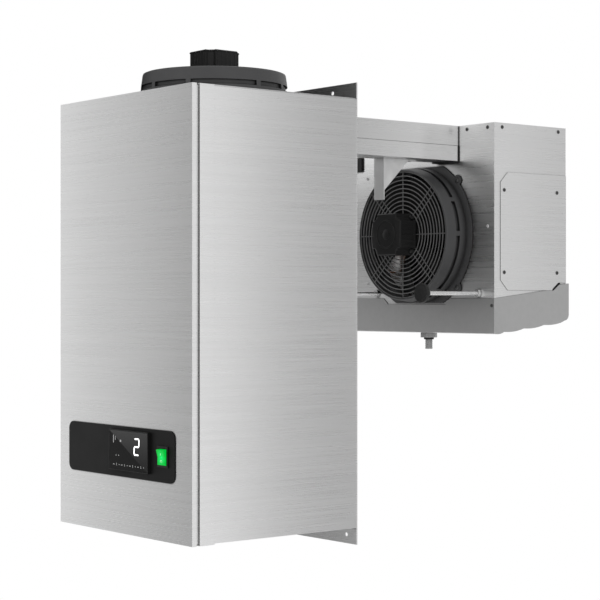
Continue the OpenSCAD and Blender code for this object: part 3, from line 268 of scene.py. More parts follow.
class Finish:
    """One procedural material; its nodes hang on one Principled shader."""

    def __init__(self, name, color, metallic=0.0, roughness=0.5, **constants):
        self.material = bpy.data.materials.new(name)
        self.material.use_nodes = True
        self.tree = self.material.node_tree
        self.shader = self.tree.nodes["Principled BSDF"]
        self.set("Base Color", color)
        self.set("Metallic", metallic)
        self.set("Roughness", roughness)
        for socket, value in constants.items():
            self.set(socket.replace("_", " "), value)

    def set(self, socket, value):
        self.shader.inputs[socket].default_value = value

    def node(self, kind, **settings):
        made = self.tree.nodes.new("ShaderNode" + kind)
        for key, value in settings.items():
            setattr(made, key, value)
        return made

    def link(self, source, target):
        self.tree.links.new(source, target)

    def place(self, scale):
        """The point on the object in metres, stretched by scale along the three axes."""
        spot = self.node("TexCoord")
        stretch = self.node("Mapping")
        stretch.inputs["Scale"].default_value = scale
        self.link(spot.outputs["Object"], stretch.inputs["Vector"])
        return stretch.outputs["Vector"]

    def noise(self, scale, detail=2.0, roughness=0.5):
        made = self.node("TexNoise")
        made.inputs["Scale"].default_value = 1.0
        made.inputs["Detail"].default_value = detail
        made.inputs["Roughness"].default_value = roughness
        self.link(self.place(scale), made.inputs["Vector"])
        return made.outputs["Fac"]

    def spread(self, value, low, high, start=0.3, end=0.7):
        """value from start to end becomes low to high."""
        made = self.node("MapRange")
        for socket, number in zip(("From Min", "From Max", "To Min", "To Max"), (start, end, low, high)):
            made.inputs[socket].default_value = number
        self.link(value, made.inputs["Value"])
        return made.outputs["Result"]

    def blend(self, value, first, second):
        """A colour between first and second; each is a colour or a socket."""
        made = self.node("Mix", data_type="RGBA")
        self.link(value, made.inputs["Factor"])
        for socket, color in (("A", first), ("B", second)):
            target = [i for i in made.inputs if i.name == socket and i.type == "RGBA"][0]
            if isinstance(color, tuple):
                target.default_value = color
            else:
                self.link(color, target)
        return [o for o in made.outputs if o.type == "RGBA"][0]

    def tint(self, value, first, second):
        made = self.blend(value, first, second)
        self.link(made, self.shader.inputs["Base Color"])
        return made

    def rough(self, value, low, high):
        self.link(self.spread(value, low, high), self.shader.inputs["Roughness"])

    def relief(self, height, strength, distance, edge=0.0):
        """Bump from height, over edges rounded by edge metres."""
        bump = self.node("Bump")
        bump.inputs["Strength"].default_value = strength
        bump.inputs["Distance"].default_value = distance
        self.link(height, bump.inputs["Height"])
        if edge:
            bevel = self.node("Bevel", samples=4)
            bevel.inputs["Radius"].default_value = edge
            self.link(bevel.outputs["Normal"], bump.inputs["Normal"])
        self.link(bump.outputs["Normal"], self.shader.inputs["Normal"])

    def shade(self, reach, darkest):
        """Paints shade into the colour: darkens it inside grooves and slots narrower than reach metres, by ambient
        occlusion.
        """
        near = self.node("AmbientOcclusion", samples=8)
        near.inputs["Distance"].default_value = reach
        scaled = self.node("VectorMath", operation="SCALE")
        color = self.shader.inputs["Base Color"]
        self.link(color.links[0].from_socket, scaled.inputs[0])
        self.link(self.spread(near.outputs["AO"], darkest, 1, 0.4, 0.9), scaled.inputs["Scale"])
        self.link(scaled.outputs["Vector"], color)

    def grain_across(self, direction):
        """The brushed grain runs across this direction, and its highlights stretch along it."""
        made = self.node("CombineXYZ")
        for socket, number in zip("XYZ", direction):
            made.inputs[socket].default_value = number
        self.link(made.outputs["Vector"], self.shader.inputs["Tangent"])

    def glow(self, color, strength):
        self.set("Emission Color", color)
        self.set("Emission Strength", strength)


def brushed(name, level, lengthwise=False, roughness=0.3, streak=0.035):
    """Stainless sheet with painted shade in its grooves. Its grain runs level round the upright faces, or along y
    if lengthwise.
    """
    finish = Finish(name, grey(level), metallic=1.0, roughness=roughness, Anisotropic=0.7)
    across = (1, 0, 1) if lengthwise else (0, 0, 1)
    fine = finish.noise([700 if a else 5 for a in across], detail=3.0)
    broad = finish.noise([170 if a else 2.5 for a in across], detail=2.0)
    cloud = finish.noise((3, 3, 3), detail=1.0)
    dark, light = grey(level * (1 - streak)), grey(level * (1 + streak))
    first = finish.blend(finish.spread(broad, 0, 1), dark, light)
    second = finish.blend(finish.spread(fine, 0, 1), dark, light)
    finish.tint(finish.spread(cloud, 0.35, 0.65), first, second)
    finish.rough(fine, roughness - 0.05, roughness + 0.05)
    finish.grain_across((0.05, 0, 1) if lengthwise else (0, 0.05, 1))
    # Painted shade: the colour darkens in grooves narrower than the sheet's reach
    finish.shade(SHEET_SHADE_REACH, SHEET_SHADE_DARKEST)
    finish.relief(fine, 0.06, 0.0002, edge=0.0008)
    return finish.material


def sheet_metal(name, level, roughness, spangle=0.05):
    """Zinc-coated or satin sheet with faint, cloudy patches."""
    finish = Finish(name, grey(level), metallic=1.0, roughness=roughness)
    patch = finish.node("TexVoronoi", feature="F1")
    patch.inputs["Scale"].default_value = 1.0
    finish.link(finish.place((90, 90, 90)), patch.inputs["Vector"])
    fine = finish.noise((600, 600, 600), detail=2.0)
    finish.tint(finish.spread(patch.outputs["Distance"], 0, 1, 0.0, 0.8),
                grey(level * (1 - spangle)), grey(level * (1 + spangle)))
    finish.rough(fine, roughness - 0.05, roughness + 0.06)
    finish.relief(fine, 0.08, 0.0002, edge=0.0008)
    return finish.material


def moulding(name, color, roughness, pimple=1400, depth=0.15, edge=0.0007, shade_reach=0.0, **constants):
    """Moulded plastic or rubber with a fine erosion grain and slight patches in its gloss.

    Grooves and slots narrower than the given reach in metres are darker: painted shade.
    """
    finish = Finish(name, color, roughness=roughness, **constants)
    grain = finish.noise((pimple, pimple, pimple), detail=2.0, roughness=0.6)
    patch = finish.noise((14, 14, 14), detail=3.0)
    darker = tuple(c * 0.86 for c in color[:3]) + (1,)
    finish.tint(finish.spread(patch, 0, 1), color, darker)
    finish.rough(patch, roughness - 0.06, roughness + 0.08)
    # Painted shade: grooves and slots narrower than the reach get a darker colour
    if shade_reach:
        finish.shade(shade_reach, MOULDING_SHADE_DARKEST)
    finish.relief(grain, depth, 0.0002, edge=edge)
    return finish.material


def coated(name, color, roughness, edge=0.0008, **constants):
    """Powder coat: a soft orange peel over metal, worn a little lighter in places."""
    finish = Finish(name, color, roughness=roughness, **constants)
    peel = finish.noise((420, 420, 420), detail=1.0)
    patch = finish.noise((22, 22, 22), detail=4.0)
    lighter = tuple(c * 1.3 + 0.001 for c in color[:3]) + (1,)
    finish.tint(finish.spread(patch, 0, 1, 0.45, 0.75), color, lighter)
    finish.rough(patch, roughness - 0.05, roughness + 0.08)
    finish.relief(peel, 0.12, 0.0003, edge=edge)
    return finish.material


def drawn_tube(name, color, roughness):
    """Drawn copper: bright, with darker heat marks."""
    finish = Finish(name, color, metallic=1.0, roughness=roughness)
    mark = finish.noise((25, 25, 25), detail=4.0)
    fine = finish.noise((500, 500, 500), detail=2.0)
    finish.tint(finish.spread(mark, 0, 1, 0.4, 0.75), color, tuple(c * 0.6 for c in color[:3]) + (1,))
    finish.rough(mark, roughness - 0.06, roughness + 0.14)
    finish.relief(fine, 0.08, 0.0002)
    return finish.material


def foam():
    """Yellowish insulation with open cells."""
    finish = Finish("foam", (0.75, 0.7, 0.52, 1), roughness=0.9)
    cell = finish.node("TexVoronoi", feature="F1")
    cell.inputs["Scale"].default_value = 1.0
    finish.link(finish.place((700, 700, 700)), cell.inputs["Vector"])
    finish.tint(cell.outputs["Distance"], (0.78, 0.73, 0.55, 1), (0.62, 0.56, 0.4, 1))
    finish.relief(cell.outputs["Distance"], 0.5, 0.0006)
    return finish.material


def display_window(low, high):
    """Dark window over the display with a painted reflection: the half above its falling diagonal is lighter, more
    so towards the top.
    """
    finish = Finish("display_black", grey(0.012), roughness=0.12, Specular_IOR_Level=0.08)
    spot = finish.node("TexCoord")
    apart = finish.node("SeparateXYZ")
    finish.link(spot.outputs["Object"], apart.inputs["Vector"])
    across = finish.spread(apart.outputs["X"], 0, 1, low.x, high.x)
    up = finish.spread(apart.outputs["Z"], 0, 1, low.z, high.z)
    total = finish.node("Math", operation="ADD")
    finish.link(across, total.inputs[0])
    finish.link(up, total.inputs[1])
    speck = finish.noise((900, 900, 900), detail=1.0)
    # Painted reflection: lighter above the falling diagonal, brightest towards the top
    painted_reflection = finish.blend(finish.spread(up, 0, 1, 0.2, 1.0), grey(0.016), grey(0.05))
    finish.tint(finish.spread(total.outputs["Value"], 0, 1, 0.99, 1.01), grey(0.006), painted_reflection)
    finish.rough(speck, 0.1, 0.16)
    return finish.material


def lit_rocker(low, high):
    """Green lens lit from inside: brighter round the lamp, with a moulded prism pattern."""
    finish = Finish("lit_green", (0.01, 0.55, 0.1, 1), roughness=0.3, Specular_IOR_Level=0.08)
    spot = finish.node("TexCoord")
    shift = finish.node("Mapping")
    middle = (low + high) / 2
    half_x, half_z = GLOW_HALF
    shift.inputs["Location"].default_value = (-middle.x / half_x, 0, -middle.z / half_z)
    shift.inputs["Scale"].default_value = (1 / half_x, 0, 1 / half_z)
    finish.link(spot.outputs["Object"], shift.inputs["Vector"])
    ball = finish.node("TexGradient", gradient_type="SPHERICAL")
    finish.link(shift.outputs["Vector"], ball.inputs["Vector"])
    prism = finish.noise((320, 320, 320), detail=1.0)
    bright = finish.blend(finish.spread(prism, 0, 1), (0.0, 0.8, 0.08, 1), (0.02, 1.0, 0.26, 1))
    shade = finish.blend(ball.outputs["Fac"], (0.0, 0.5, 0.04, 1), bright)
    finish.link(shade, finish.shader.inputs["Emission Color"])
    finish.set("Emission Strength", 0.85)
    finish.tint(finish.spread(prism, 0, 1), (0.0, 0.08, 0.01, 1), (0.0, 0.14, 0.02, 1))
    finish.relief(prism, 0.3, 0.0004, edge=0.0005)
    return finish.material


def lit_white():
    """The lit digit, as bright as white paper."""
    finish = Finish("lit_white", grey(0.9), roughness=0.4)
    finish.tint(finish.noise((400, 400, 400), detail=1.0), grey(0.9), grey(0.8))
    finish.glow(WHITE, 1.0)
    return finish.material


def finishes():
    """Every finish by its slot's name."""
    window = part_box("display_glass")
    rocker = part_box("rocker_button")
    return {
        "brushed_stainless": brushed("brushed_stainless", 0.74),
        "casing_stainless": brushed("casing_stainless", 0.72, streak=0.025),
        "lengthwise_stainless": brushed("lengthwise_stainless", 0.7, lengthwise=True, streak=0.025),
        "zinc_sheet": sheet_metal("zinc_sheet", 0.62, 0.36),
        "tray_grey": sheet_metal("tray_grey", 0.46, 0.34, spangle=0.02),
        "fascia_black": moulding("fascia_black", grey(0.006), 0.42, pimple=1800, depth=0.08, edge=0.0003,
                                 Specular_IOR_Level=0.1),
        "controller_black": moulding("controller_black", grey(0.006), 0.35, Specular_IOR_Level=0.15),
        "display_black": display_window(*window),
        "lit_white": lit_white(),
        "switch_black": moulding("switch_black", grey(0.006), 0.3, edge=0.0005, Specular_IOR_Level=0.2),
        "lit_green": lit_rocker(*rocker),
        "terminal_beige": moulding("terminal_beige", (0.7, 0.66, 0.52, 1), 0.5),
        "compressor_black": coated("compressor_black", grey(0.015), 0.3, edge=0.002),
        "pump_iron": coated("pump_iron", grey(0.2), 0.6),
        "rubber_black": moulding("rubber_black", grey(0.012), 0.62, pimple=900, depth=0.3,
                                 Specular_IOR_Level=0.25),
        "fin_aluminium": sheet_metal("fin_aluminium", 0.4, 0.45, spangle=0.03),
        "copper": drawn_tube("copper", (0.76, 0.4, 0.25, 1), 0.3),
        # The fan rings get painted shade in their slots
        "fan_grey": moulding("fan_grey", (0.05, 0.05, 0.051, 1), 0.46, pimple=1100, depth=0.25, edge=0.001,
                             shade_reach=RING_SHADE_REACH, Specular_IOR_Level=0.25),
        "guard_grey": coated("guard_grey", grey(0.075), 0.42, edge=0.0),
        "motor_black": coated("motor_black", grey(0.011), 0.42, Specular_IOR_Level=0.15),
        "impeller_black": moulding("impeller_black", grey(0.005), 0.5, edge=0.0, Specular_IOR_Level=0.1),
        "foam": foam(),
        "drain_grey": moulding("drain_grey", grey(0.24), 0.4),
        "bright_steel": sheet_metal("bright_steel", 0.62, 0.24, spangle=0.03),
        "hook_steel": coated("hook_steel", grey(0.52), 0.45, Metallic=0.5),
        "screw_dark": coated("screw_dark", grey(0.03), 0.35, edge=0.0003),
    }


def placed(name, data):
    """A new object in the scene for a mesh, a lamp or a camera."""
    made = bpy.data.objects.new(name, data)
    bpy.context.scene.collection.objects.link(made)
    return made


class Shape:
    """Points and faces gathered from simple forms, in millimetres of its own frame."""

    def __init__(self):
        self.points = []
        self.faces = []

    def add(self, points, faces, at=None):
        start = len(self.points)
        self.points += [at @ Vector(p) if at else Vector(p) for p in points]
        self.faces += [[start + i for i in face] for face in faces]

    def grid(self, rows, around=False, along=False, caps=False, at=None):
        """Quads between rows of points. around closes each row, along joins the last row to the first."""
        count, width = len(rows), len(rows[0])
        faces = []
        for i in range(count if along else count - 1):
            for j in range(width if around else width - 1):
                a, b = i * width, (i + 1) % count * width
                k = (j + 1) % width
                faces.append([a + j, a + k, b + k, b + j])
        if caps:
            faces.append(list(range(width))[::-1])
            faces.append([(count - 1) * width + j for j in range(width)])
        self.add([p for row in rows for p in row], faces, at)

    def lathe(self, profile, steps=48, at=None):
        """A closed body turned about z from [radius, z] points that start and end on the axis or close."""
        rows = [[(r * math.cos(a), r * math.sin(a), z) for a in turn(steps)] for r, z in profile]
        self.grid(rows, around=True, at=at)

    def tube(self, path, radius, sides=8, closed=False, at=None):
        """A round wire along a path."""
        path = [Vector(p) for p in path]
        count = len(path)
        normal = None
        rows = []
        for i, point in enumerate(path):
            before = path[i - 1] if i or closed else point
            after = path[(i + 1) % count] if i < count - 1 or closed else point
            along = (after - before).normalized()
            if normal is None:
                normal = along.orthogonal().normalized()
            normal = (normal - along * normal.dot(along)).normalized()
            side = along.cross(normal)
            rows.append([point + radius * (normal * math.cos(a) + side * math.sin(a)) for a in turn(sides)])
        self.grid(rows, around=True, along=closed, caps=not closed, at=at)

    def ring(self, radius, z, wire, steps=120, at=None):
        self.tube([(radius * math.cos(a), radius * math.sin(a), z) for a in turn(steps)], wire,
                  closed=True, at=at)

    def block(self, low, high, at=None):
        rows = [[(low[0], low[1], z), (high[0], low[1], z), (high[0], high[1], z), (low[0], high[1], z)]
                for z in (low[2], high[2])]
        self.grid(rows, around=True, caps=True, at=at)

    def prism(self, outline, low, high, inset=0.0, at=None):
        """An outline in x and y between two heights; its upper edge is chamfered by inset."""
        rows = [[(x, y, low) for x, y in outline], [(x, y, high - inset) for x, y in outline]]
        if inset:
            size = max(max(abs(x), abs(y)) for x, y in outline)
            share = 1 - inset / size
            rows.append([(x * share, y * share, high) for x, y in outline])
        self.grid(rows, around=True, caps=True, at=at)

    def piece(self, name, body, slot, material, at=None, replaces=(), smooth=35, rounding=0.0):
        """Makes the object: at places the millimetres in the frame, in metres."""
        place = (at or Matrix.Identity(4)) @ Matrix.Scale(MM, 4)
        mesh = bpy.data.meshes.new(name)
        mesh.from_pydata([place @ p for p in self.points], [], self.faces)
        mesh.validate()
        mesh.polygons.foreach_set("use_smooth", [True] * len(mesh.polygons))
        mesh.set_sharp_from_angle(angle=math.radians(smooth))
        mesh.materials.append(material)
        made = placed(name, mesh)
        if rounding:
            bevel = made.modifiers.new("rounding", "BEVEL")
            bevel.width = rounding * MM
            bevel.segments = 2
            bevel.limit_method = "ANGLE"
            bevel.angle_limit = math.radians(smooth)
        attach(made, body)
        if replaces:
            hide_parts(*replaces)


def turn(steps, start=0.0, full=2 * math.pi):
    return [start + full * i / steps for i in range(steps)]


def about_z(degrees):
    return Matrix.Rotation(math.radians(degrees), 4, "Z")


def moved(x, y, z):
    return Matrix.Translation((x, y, z))


def fan_frames():
    """Where each fan's own frame lies: its flange's back on z = 0, facing up."""
    low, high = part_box("cond_fan_ring")
    upright = Matrix.Translation(((low.x + high.x) / 2, (low.y + high.y) / 2, low.z))
    low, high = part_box("evap_fan_ring")
    forward = Matrix.Translation(((low.x + high.x) / 2, high.y, (low.z + high.z) / 2))
    return {"cond": upright, "evap": forward @ Matrix.Rotation(math.pi / 2, 4, "X")}


def top_and_reach(at, node):
    """Highest level of a node in a fan's frame, and its reach from the axis, in millimetres."""
    inside = at.inverted()
    spots = [inside @ v.co for v in frame["nodes"][node].data.vertices]
    return max(p.z for p in spots) / MM, max(p.xy.length for p in spots) / MM


def guard(fan, at, paint):
    """Wire rings on spokes: single ones along the axes, and pairs between them that end in loops."""
    node = fan + "_fan_guard"
    top, reach = top_and_reach(at, node)
    level = top - WIRE_R
    under = level - 2 * WIRE_R + WIRE_LAP
    shape = Shape()
    for i in range(GUARD_RINGS):
        shape.ring(reach - WIRE_R - i * GUARD_PITCH, level, WIRE_R)
    for a in range(0, 360, 90):
        shape.tube([(SPOKE_FROM, 0, under), (reach - WIRE_R, 0, under)], WIRE_R, at=about_z(a))
    half = PAIR_GAP / 2
    bend = [(LOOP_AT - half * math.sin(a), half * math.cos(a), under) for a in turn(LOOP_STEPS, 0, math.pi)]
    back = [(LOOP_AT, -half, under), (reach - WIRE_R, -half, under)]
    hairpin = [(reach - WIRE_R, half, under)] + bend + back
    for a in range(45, 360, 90):
        shape.tube(hairpin, WIRE_R, at=about_z(a))
    shape.piece(node + "_wires", "unit", "guard_grey", paint["guard_grey"], at, [node])


def notched_square(half):
    """Outline of the motor: a square whose corners are stepped back twice."""
    inner, step = half - MOTOR_NOTCH, MOTOR_NOTCH / 2
    corner = [(half, inner), (half - step, inner), (inner, half - step), (inner, half)]
    return [(x * math.cos(a) - y * math.sin(a), x * math.sin(a) + y * math.cos(a))
            for a in turn(4) for x, y in corner]


def motor(fan, at, paint):
    """A square motor with stepped corners, a ribbed waist, a cap, and four bosses on its foot."""
    node = fan + "_fan_motor"
    top = top_and_reach(at, node)[0]
    low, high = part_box(node)
    half = (high.x - low.x) / 2 / MM * MOTOR_SHARES[fan]
    foot = HUB_TOP + MOTOR_CLEAR
    waist, cap = foot + MOTOR_FOOT, top - MOTOR_CAP
    shape = Shape()
    shape.prism(notched_square(half), foot, waist)
    shape.prism(notched_square(half - MOTOR_INSET), waist, cap)
    shape.prism(notched_square(half), cap, top - MOTOR_SINK, inset=MOTOR_CHAMFER)
    shape.lathe([(r, top + z) for r, z in CAP_RING])
    shape.lathe([(r, top + z) for r, z in CAP_DISC])
    shape.lathe([(0, foot), (NECK_R, foot), (NECK_R, HUB_TOP + NECK_GAP), (0, HUB_TOP + NECK_GAP)])
    for a in range(45, 360, 90):
        shape.lathe([(r, foot + z) for r, z in BOSS], 20, at=about_z(a) @ moved(LOOP_AT, 0, 0))
    for a in range(0, 360, 90):
        for spot in RIB_SPOTS:
            shape.block((half - MOTOR_INSET - RIB_ROOT, spot - RIB_HALF, waist),
                        (half - RIB_SHY, spot + RIB_HALF, cap), at=about_z(a))
    shape.piece(node + "_body", "unit", "motor_black", paint["motor_black"], at, [node], rounding=0.4)


def blade_section(share):
    """A closed, cambered section of a blade at this share of its length."""
    radius = BLADE_ROOT + (BLADE_TIP - BLADE_ROOT) * share
    chord = ROOT_CHORD + (TIP_CHORD - ROOT_CHORD) * share
    pitch = math.radians(ROOT_PITCH + (TIP_PITCH - ROOT_PITCH) * share)
    skew = math.radians(BLADE_SKEW) * share ** 2
    points = []
    for side in (1, -1):
        for i in range(BLADE_CUTS):
            w = (i / BLADE_CUTS - 0.5) * side
            bow = BLADE_CAMBER * (0.25 - w * w) * 4
            thick = side * BLADE_T / 2 * (1 - (2 * w) ** 6 * EDGE_THINNING)
            along = w * chord * math.cos(pitch) - (bow + thick) * math.sin(pitch)
            rise = w * chord * math.sin(pitch) + (bow + thick) * math.cos(pitch) - BLADE_CAMBER / 2
            corner = 1 - CORNER_ROUNDING * share * abs(2 * w) ** 5
            angle = along / radius + skew
            points.append((radius * corner * math.cos(angle), radius * corner * math.sin(angle),
                           BLADE_LEVEL + rise))
    return points


def impeller(fan, at, paint):
    """A hollow, ribbed hub with its shaft, and the blades round it."""
    node = fan + "_fan_impeller"
    inner = HUB_R - HUB_WALL
    shape = Shape()
    shape.lathe([(inner, HUB_WEB), (inner, HUB_LOW), (HUB_R, HUB_LOW), (HUB_R, HUB_TOP - HUB_BEVEL),
                 (HUB_R - HUB_EDGE, HUB_TOP - HUB_EDGE), (HUB_R - HUB_BEVEL, HUB_TOP), (SHAFT_R, HUB_TOP),
                 (SHAFT_R, SHAFT_TOP), (0, SHAFT_TOP)], 72)
    shape.lathe([(inner, HUB_WEB), (SLEEVE_R, HUB_WEB), (SLEEVE_R, SLEEVE_LOW), (SHAFT_R, SLEEVE_LOW),
                 (0, SLEEVE_LOW)], 72)
    for i in range(HUB_RIBS):
        shape.block((SLEEVE_R - 1, -1, SLEEVE_LOW + 2), (inner + 1, 1, HUB_WEB + 1),
                    at=about_z(i * 360 / HUB_RIBS))
    rows = [blade_section(k / BLADE_ROWS) for k in range(BLADE_ROWS + 1)]
    for i in range(BLADES):
        shape.grid(rows, around=True, caps=True, at=about_z(i * 360 / BLADES))
    shape.piece(node + "_blades", IMPELLER_BODIES[fan], "impeller_black", paint["impeller_black"],
                at, [node], smooth=50)


def coil(node, paint, skirt, fin_high):
    """Thin fins between two folded end plates; all reach down by skirt below the solid."""
    low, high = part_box(node)
    y0, y1, z0, z1 = low.y / MM, high.y / MM, low.z / MM - skirt, high.z / MM
    shape = Shape()
    pitch = 2 * COIL_HALF / (COIL_FINS + 1)
    for i in range(COIL_FINS):
        x = -COIL_HALF + (i + 1) * pitch
        shape.block((x - FIN_T / 2, y0, z0), (x + FIN_T / 2, y1, fin_high))
    for side in (-1, 1):
        inner, outer, edge = (side * (COIL_HALF + reach) for reach in (0, END_T, END_FLANGE))
        shape.block((min(inner, outer), y0, z0), (max(inner, outer), y1, z1))
        shape.block((min(inner, edge), y0, z1 - END_T), (max(inner, edge), y1, z1))
    shape.piece(node + "_pack", "unit", "fin_aluminium", paint["fin_aluminium"], replaces=[node])


def islands(node):
    """The box of each separate solid in a node, as (lowest, highest) corners."""
    mesh = frame["nodes"][node].data
    group = list(range(len(mesh.vertices)))
    spot = {}

    def root(i):
        while group[i] != i:
            group[i] = group[group[i]]
            i = group[i]
        return i

    for i, vertex in enumerate(mesh.vertices):
        same = spot.setdefault(tuple(round(c, 6) for c in vertex.co), i)
        group[root(i)] = root(same)
    for edge in mesh.edges:
        group[root(edge.vertices[0])] = root(edge.vertices[1])
    members = {}
    for i, vertex in enumerate(mesh.vertices):
        members.setdefault(root(i), []).append(vertex.co)
    return [tuple(Vector([end(p[k] for p in spots) for k in range(3)]) for end in (min, max))
            for spots in members.values()]


def screw_head(shape, radius, height, at):
    """A domed head with a four-lobed recess, on z = 0."""
    rows = []
    for profile, wave in ((HEAD_DOME, 0), (HEAD_RECESS, RECESS_WAVE)):
        for share, level in profile:
            row = []
            for a in turn(HEAD_STEPS):
                reach = radius * share * (1 + wave * math.cos(4 * a))
                row.append((reach * math.cos(a), reach * math.sin(a), height * level))
            rows.append(row)
    shape.grid(rows, around=True, at=at)


def screws(paint):
    """Every screw stands where the frame has it, with its head on the outside."""
    dark, pale = Shape(), Shape()
    for low, high in islands("casing_screws"):
        size = (high - low) / MM
        axis = max(range(3), key=lambda k: size[k])
        middle = (low + high) / 2 / MM
        outward = {0: 1 if middle.x > 0 else -1, 1: -1, 2: 1}[axis]
        radius = min(size) / 2
        small = radius < SMALL_SCREW_R
        height = LOW_HEAD if small else HIGH_HEAD
        tip = (high if outward > 0 else low)[axis] / MM
        seat = middle.copy()
        seat[axis] = tip - outward * height
        direction = Vector([outward if k == axis else 0 for k in range(3)])
        at = Matrix.Translation(seat) @ direction.to_track_quat("Z", "Y").to_matrix().to_4x4()
        shape = pale if axis == 1 and small and PALE_LEVELS[0] < seat.z < PALE_LEVELS[1] else dark
        screw_head(shape, radius, height, at)
        tail = -size[axis] + height
        shape.lathe([(0, tail), (radius * SHANK_TIP, tail + SHANK_CONE), (radius * SHANK_TOP, SHANK_LAP)],
                    16, at=at)
    dark.piece("screw_heads", "unit", "screw_dark", paint["screw_dark"], replaces=["casing_screws"])
    pale.piece("bright_screw_heads", "unit", "zinc_sheet", paint["zinc_sheet"])


def spacer(side, body, paint):
    """Threaded rod and its rubber foot."""
    low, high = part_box("spacer_rod_" + side)
    x, z = (low.x + high.x) / 2 / MM, (low.z + high.z) / 2 / MM
    radius = (high.x - low.x) / 2 / MM
    start, end = low.y / MM, high.y / MM
    quarters = int((end - start) / THREAD_PITCH * 4)
    rows = []
    for i in range(quarters + 1):
        y = start + (end - start) * i / quarters
        taper = min(1, (quarters - i) / TAPER_QUARTERS * (1 - TAPER_END) + TAPER_END)
        row = []
        for a in turn(THREAD_SIDES):
            phase = (i / 4 + a / (2 * math.pi)) % 1
            r = (radius - THREAD_DEPTH * abs(2 * phase - 1)) * taper
            row.append((x + r * math.cos(a), y, z - r * math.sin(a)))
        rows.append(row)
    rod = Shape()
    rod.grid(rows, around=True, caps=True)
    rod.piece("thread_" + side, body, "bright_steel", paint["bright_steel"],
              replaces=["spacer_rod_" + side], smooth=60)
    low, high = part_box("spacer_foot_" + side)
    foot_r, hub = (high.x - low.x) / 2 / MM, (high.y - low.y) / MM * FOOT_HUB_SHARE
    at = Matrix.Translation((x, low.y / MM, z)) @ Matrix.Rotation(-math.pi / 2, 4, "X")
    bore = radius + FOOT_BORE_GAP
    pad = [(foot_r + r, level) for r, level in FOOT_PAD]
    tip = [(r, hub + level) for r, level in FOOT_END]
    foot = Shape()
    foot.lathe([(0, pad[0][1]), *pad, *FOOT_NECK, *tip, (bore, hub), (bore, FOOT_BORE_LEVEL),
                (0, FOOT_BORE_LEVEL)], 64, at=at)
    foot.piece("rubber_foot_" + side, body, "rubber_black", paint["rubber_black"],
               replaces=["spacer_foot_" + side], smooth=40)


def digit_two(paint):
    """The lit 2: five pointed segments that lean a little."""
    low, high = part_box("display_digit")
    left, right, bottom, top = low.x / MM, high.x / MM, low.z / MM, high.z / MM
    front = low.y / MM
    middle = (bottom + top) / 2
    half, gap = SEGMENT_W / 2, SEGMENT_GAP
    x0, x1 = left + half + DIGIT_LEFT, right - half - DIGIT_RIGHT
    levels = [bottom + half, middle, top - half]
    bars = [((x0, z), (x1, z)) for z in levels]
    bars += [((x0, levels[0]), (x0, levels[1])), ((x1, levels[1]), (x1, levels[2]))]
    shape = Shape()
    for (ax, az), (bx, bz) in bars:
        along = Vector((bx - ax, bz - az)).normalized()
        across = Vector((-along.y, along.x)) * half
        start = Vector((ax, az)) + along * gap
        end = Vector((bx, bz)) - along * gap
        outline = [start, start + along * half + across, end - along * half + across,
                   end, end - along * half - across, start + along * half - across]
        rows = [[(p.x + (p.y - middle) * DIGIT_SLANT + DIGIT_SHIFT, front + depth, p.y) for p in outline]
                for depth in (SEGMENT_T, 0)]
        shape.grid(rows, around=True, caps=True)
    shape.piece("digit_two", "unit", "lit_white", paint["lit_white"], replaces=["display_digit"])


def display_marks():
    """A faint row of plain ticks and dots along the window's foot, with bars and dots above."""
    low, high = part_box("display_glass")
    front, left, bottom = low.y / MM, low.x / MM, low.z / MM
    width, height = (high.x - low.x) / MM, (high.z - low.z) / MM
    finish = Finish("mark_grey", grey(0.3), roughness=0.5)
    finish.tint(finish.noise((900, 900, 900)), grey(0.36), grey(0.2))
    finish.glow(grey(0.5), 0.25)
    shape = Shape()
    row = [(ROW_START + ROW_STEP * i, ROW_LEVEL, *ROW_SIZES[i % 3]) for i in range(ROW_MARKS)]
    for across, up, half_x, half_z in (*row, *UPPER_MARKS):
        x, z = left + width * across, bottom + height * up
        shape.block((x - half_x, front - MARK_T, z - half_z), (x + half_x, front, z + half_z))
    shape.piece("display_marks", "unit", "lit_white", finish.material)


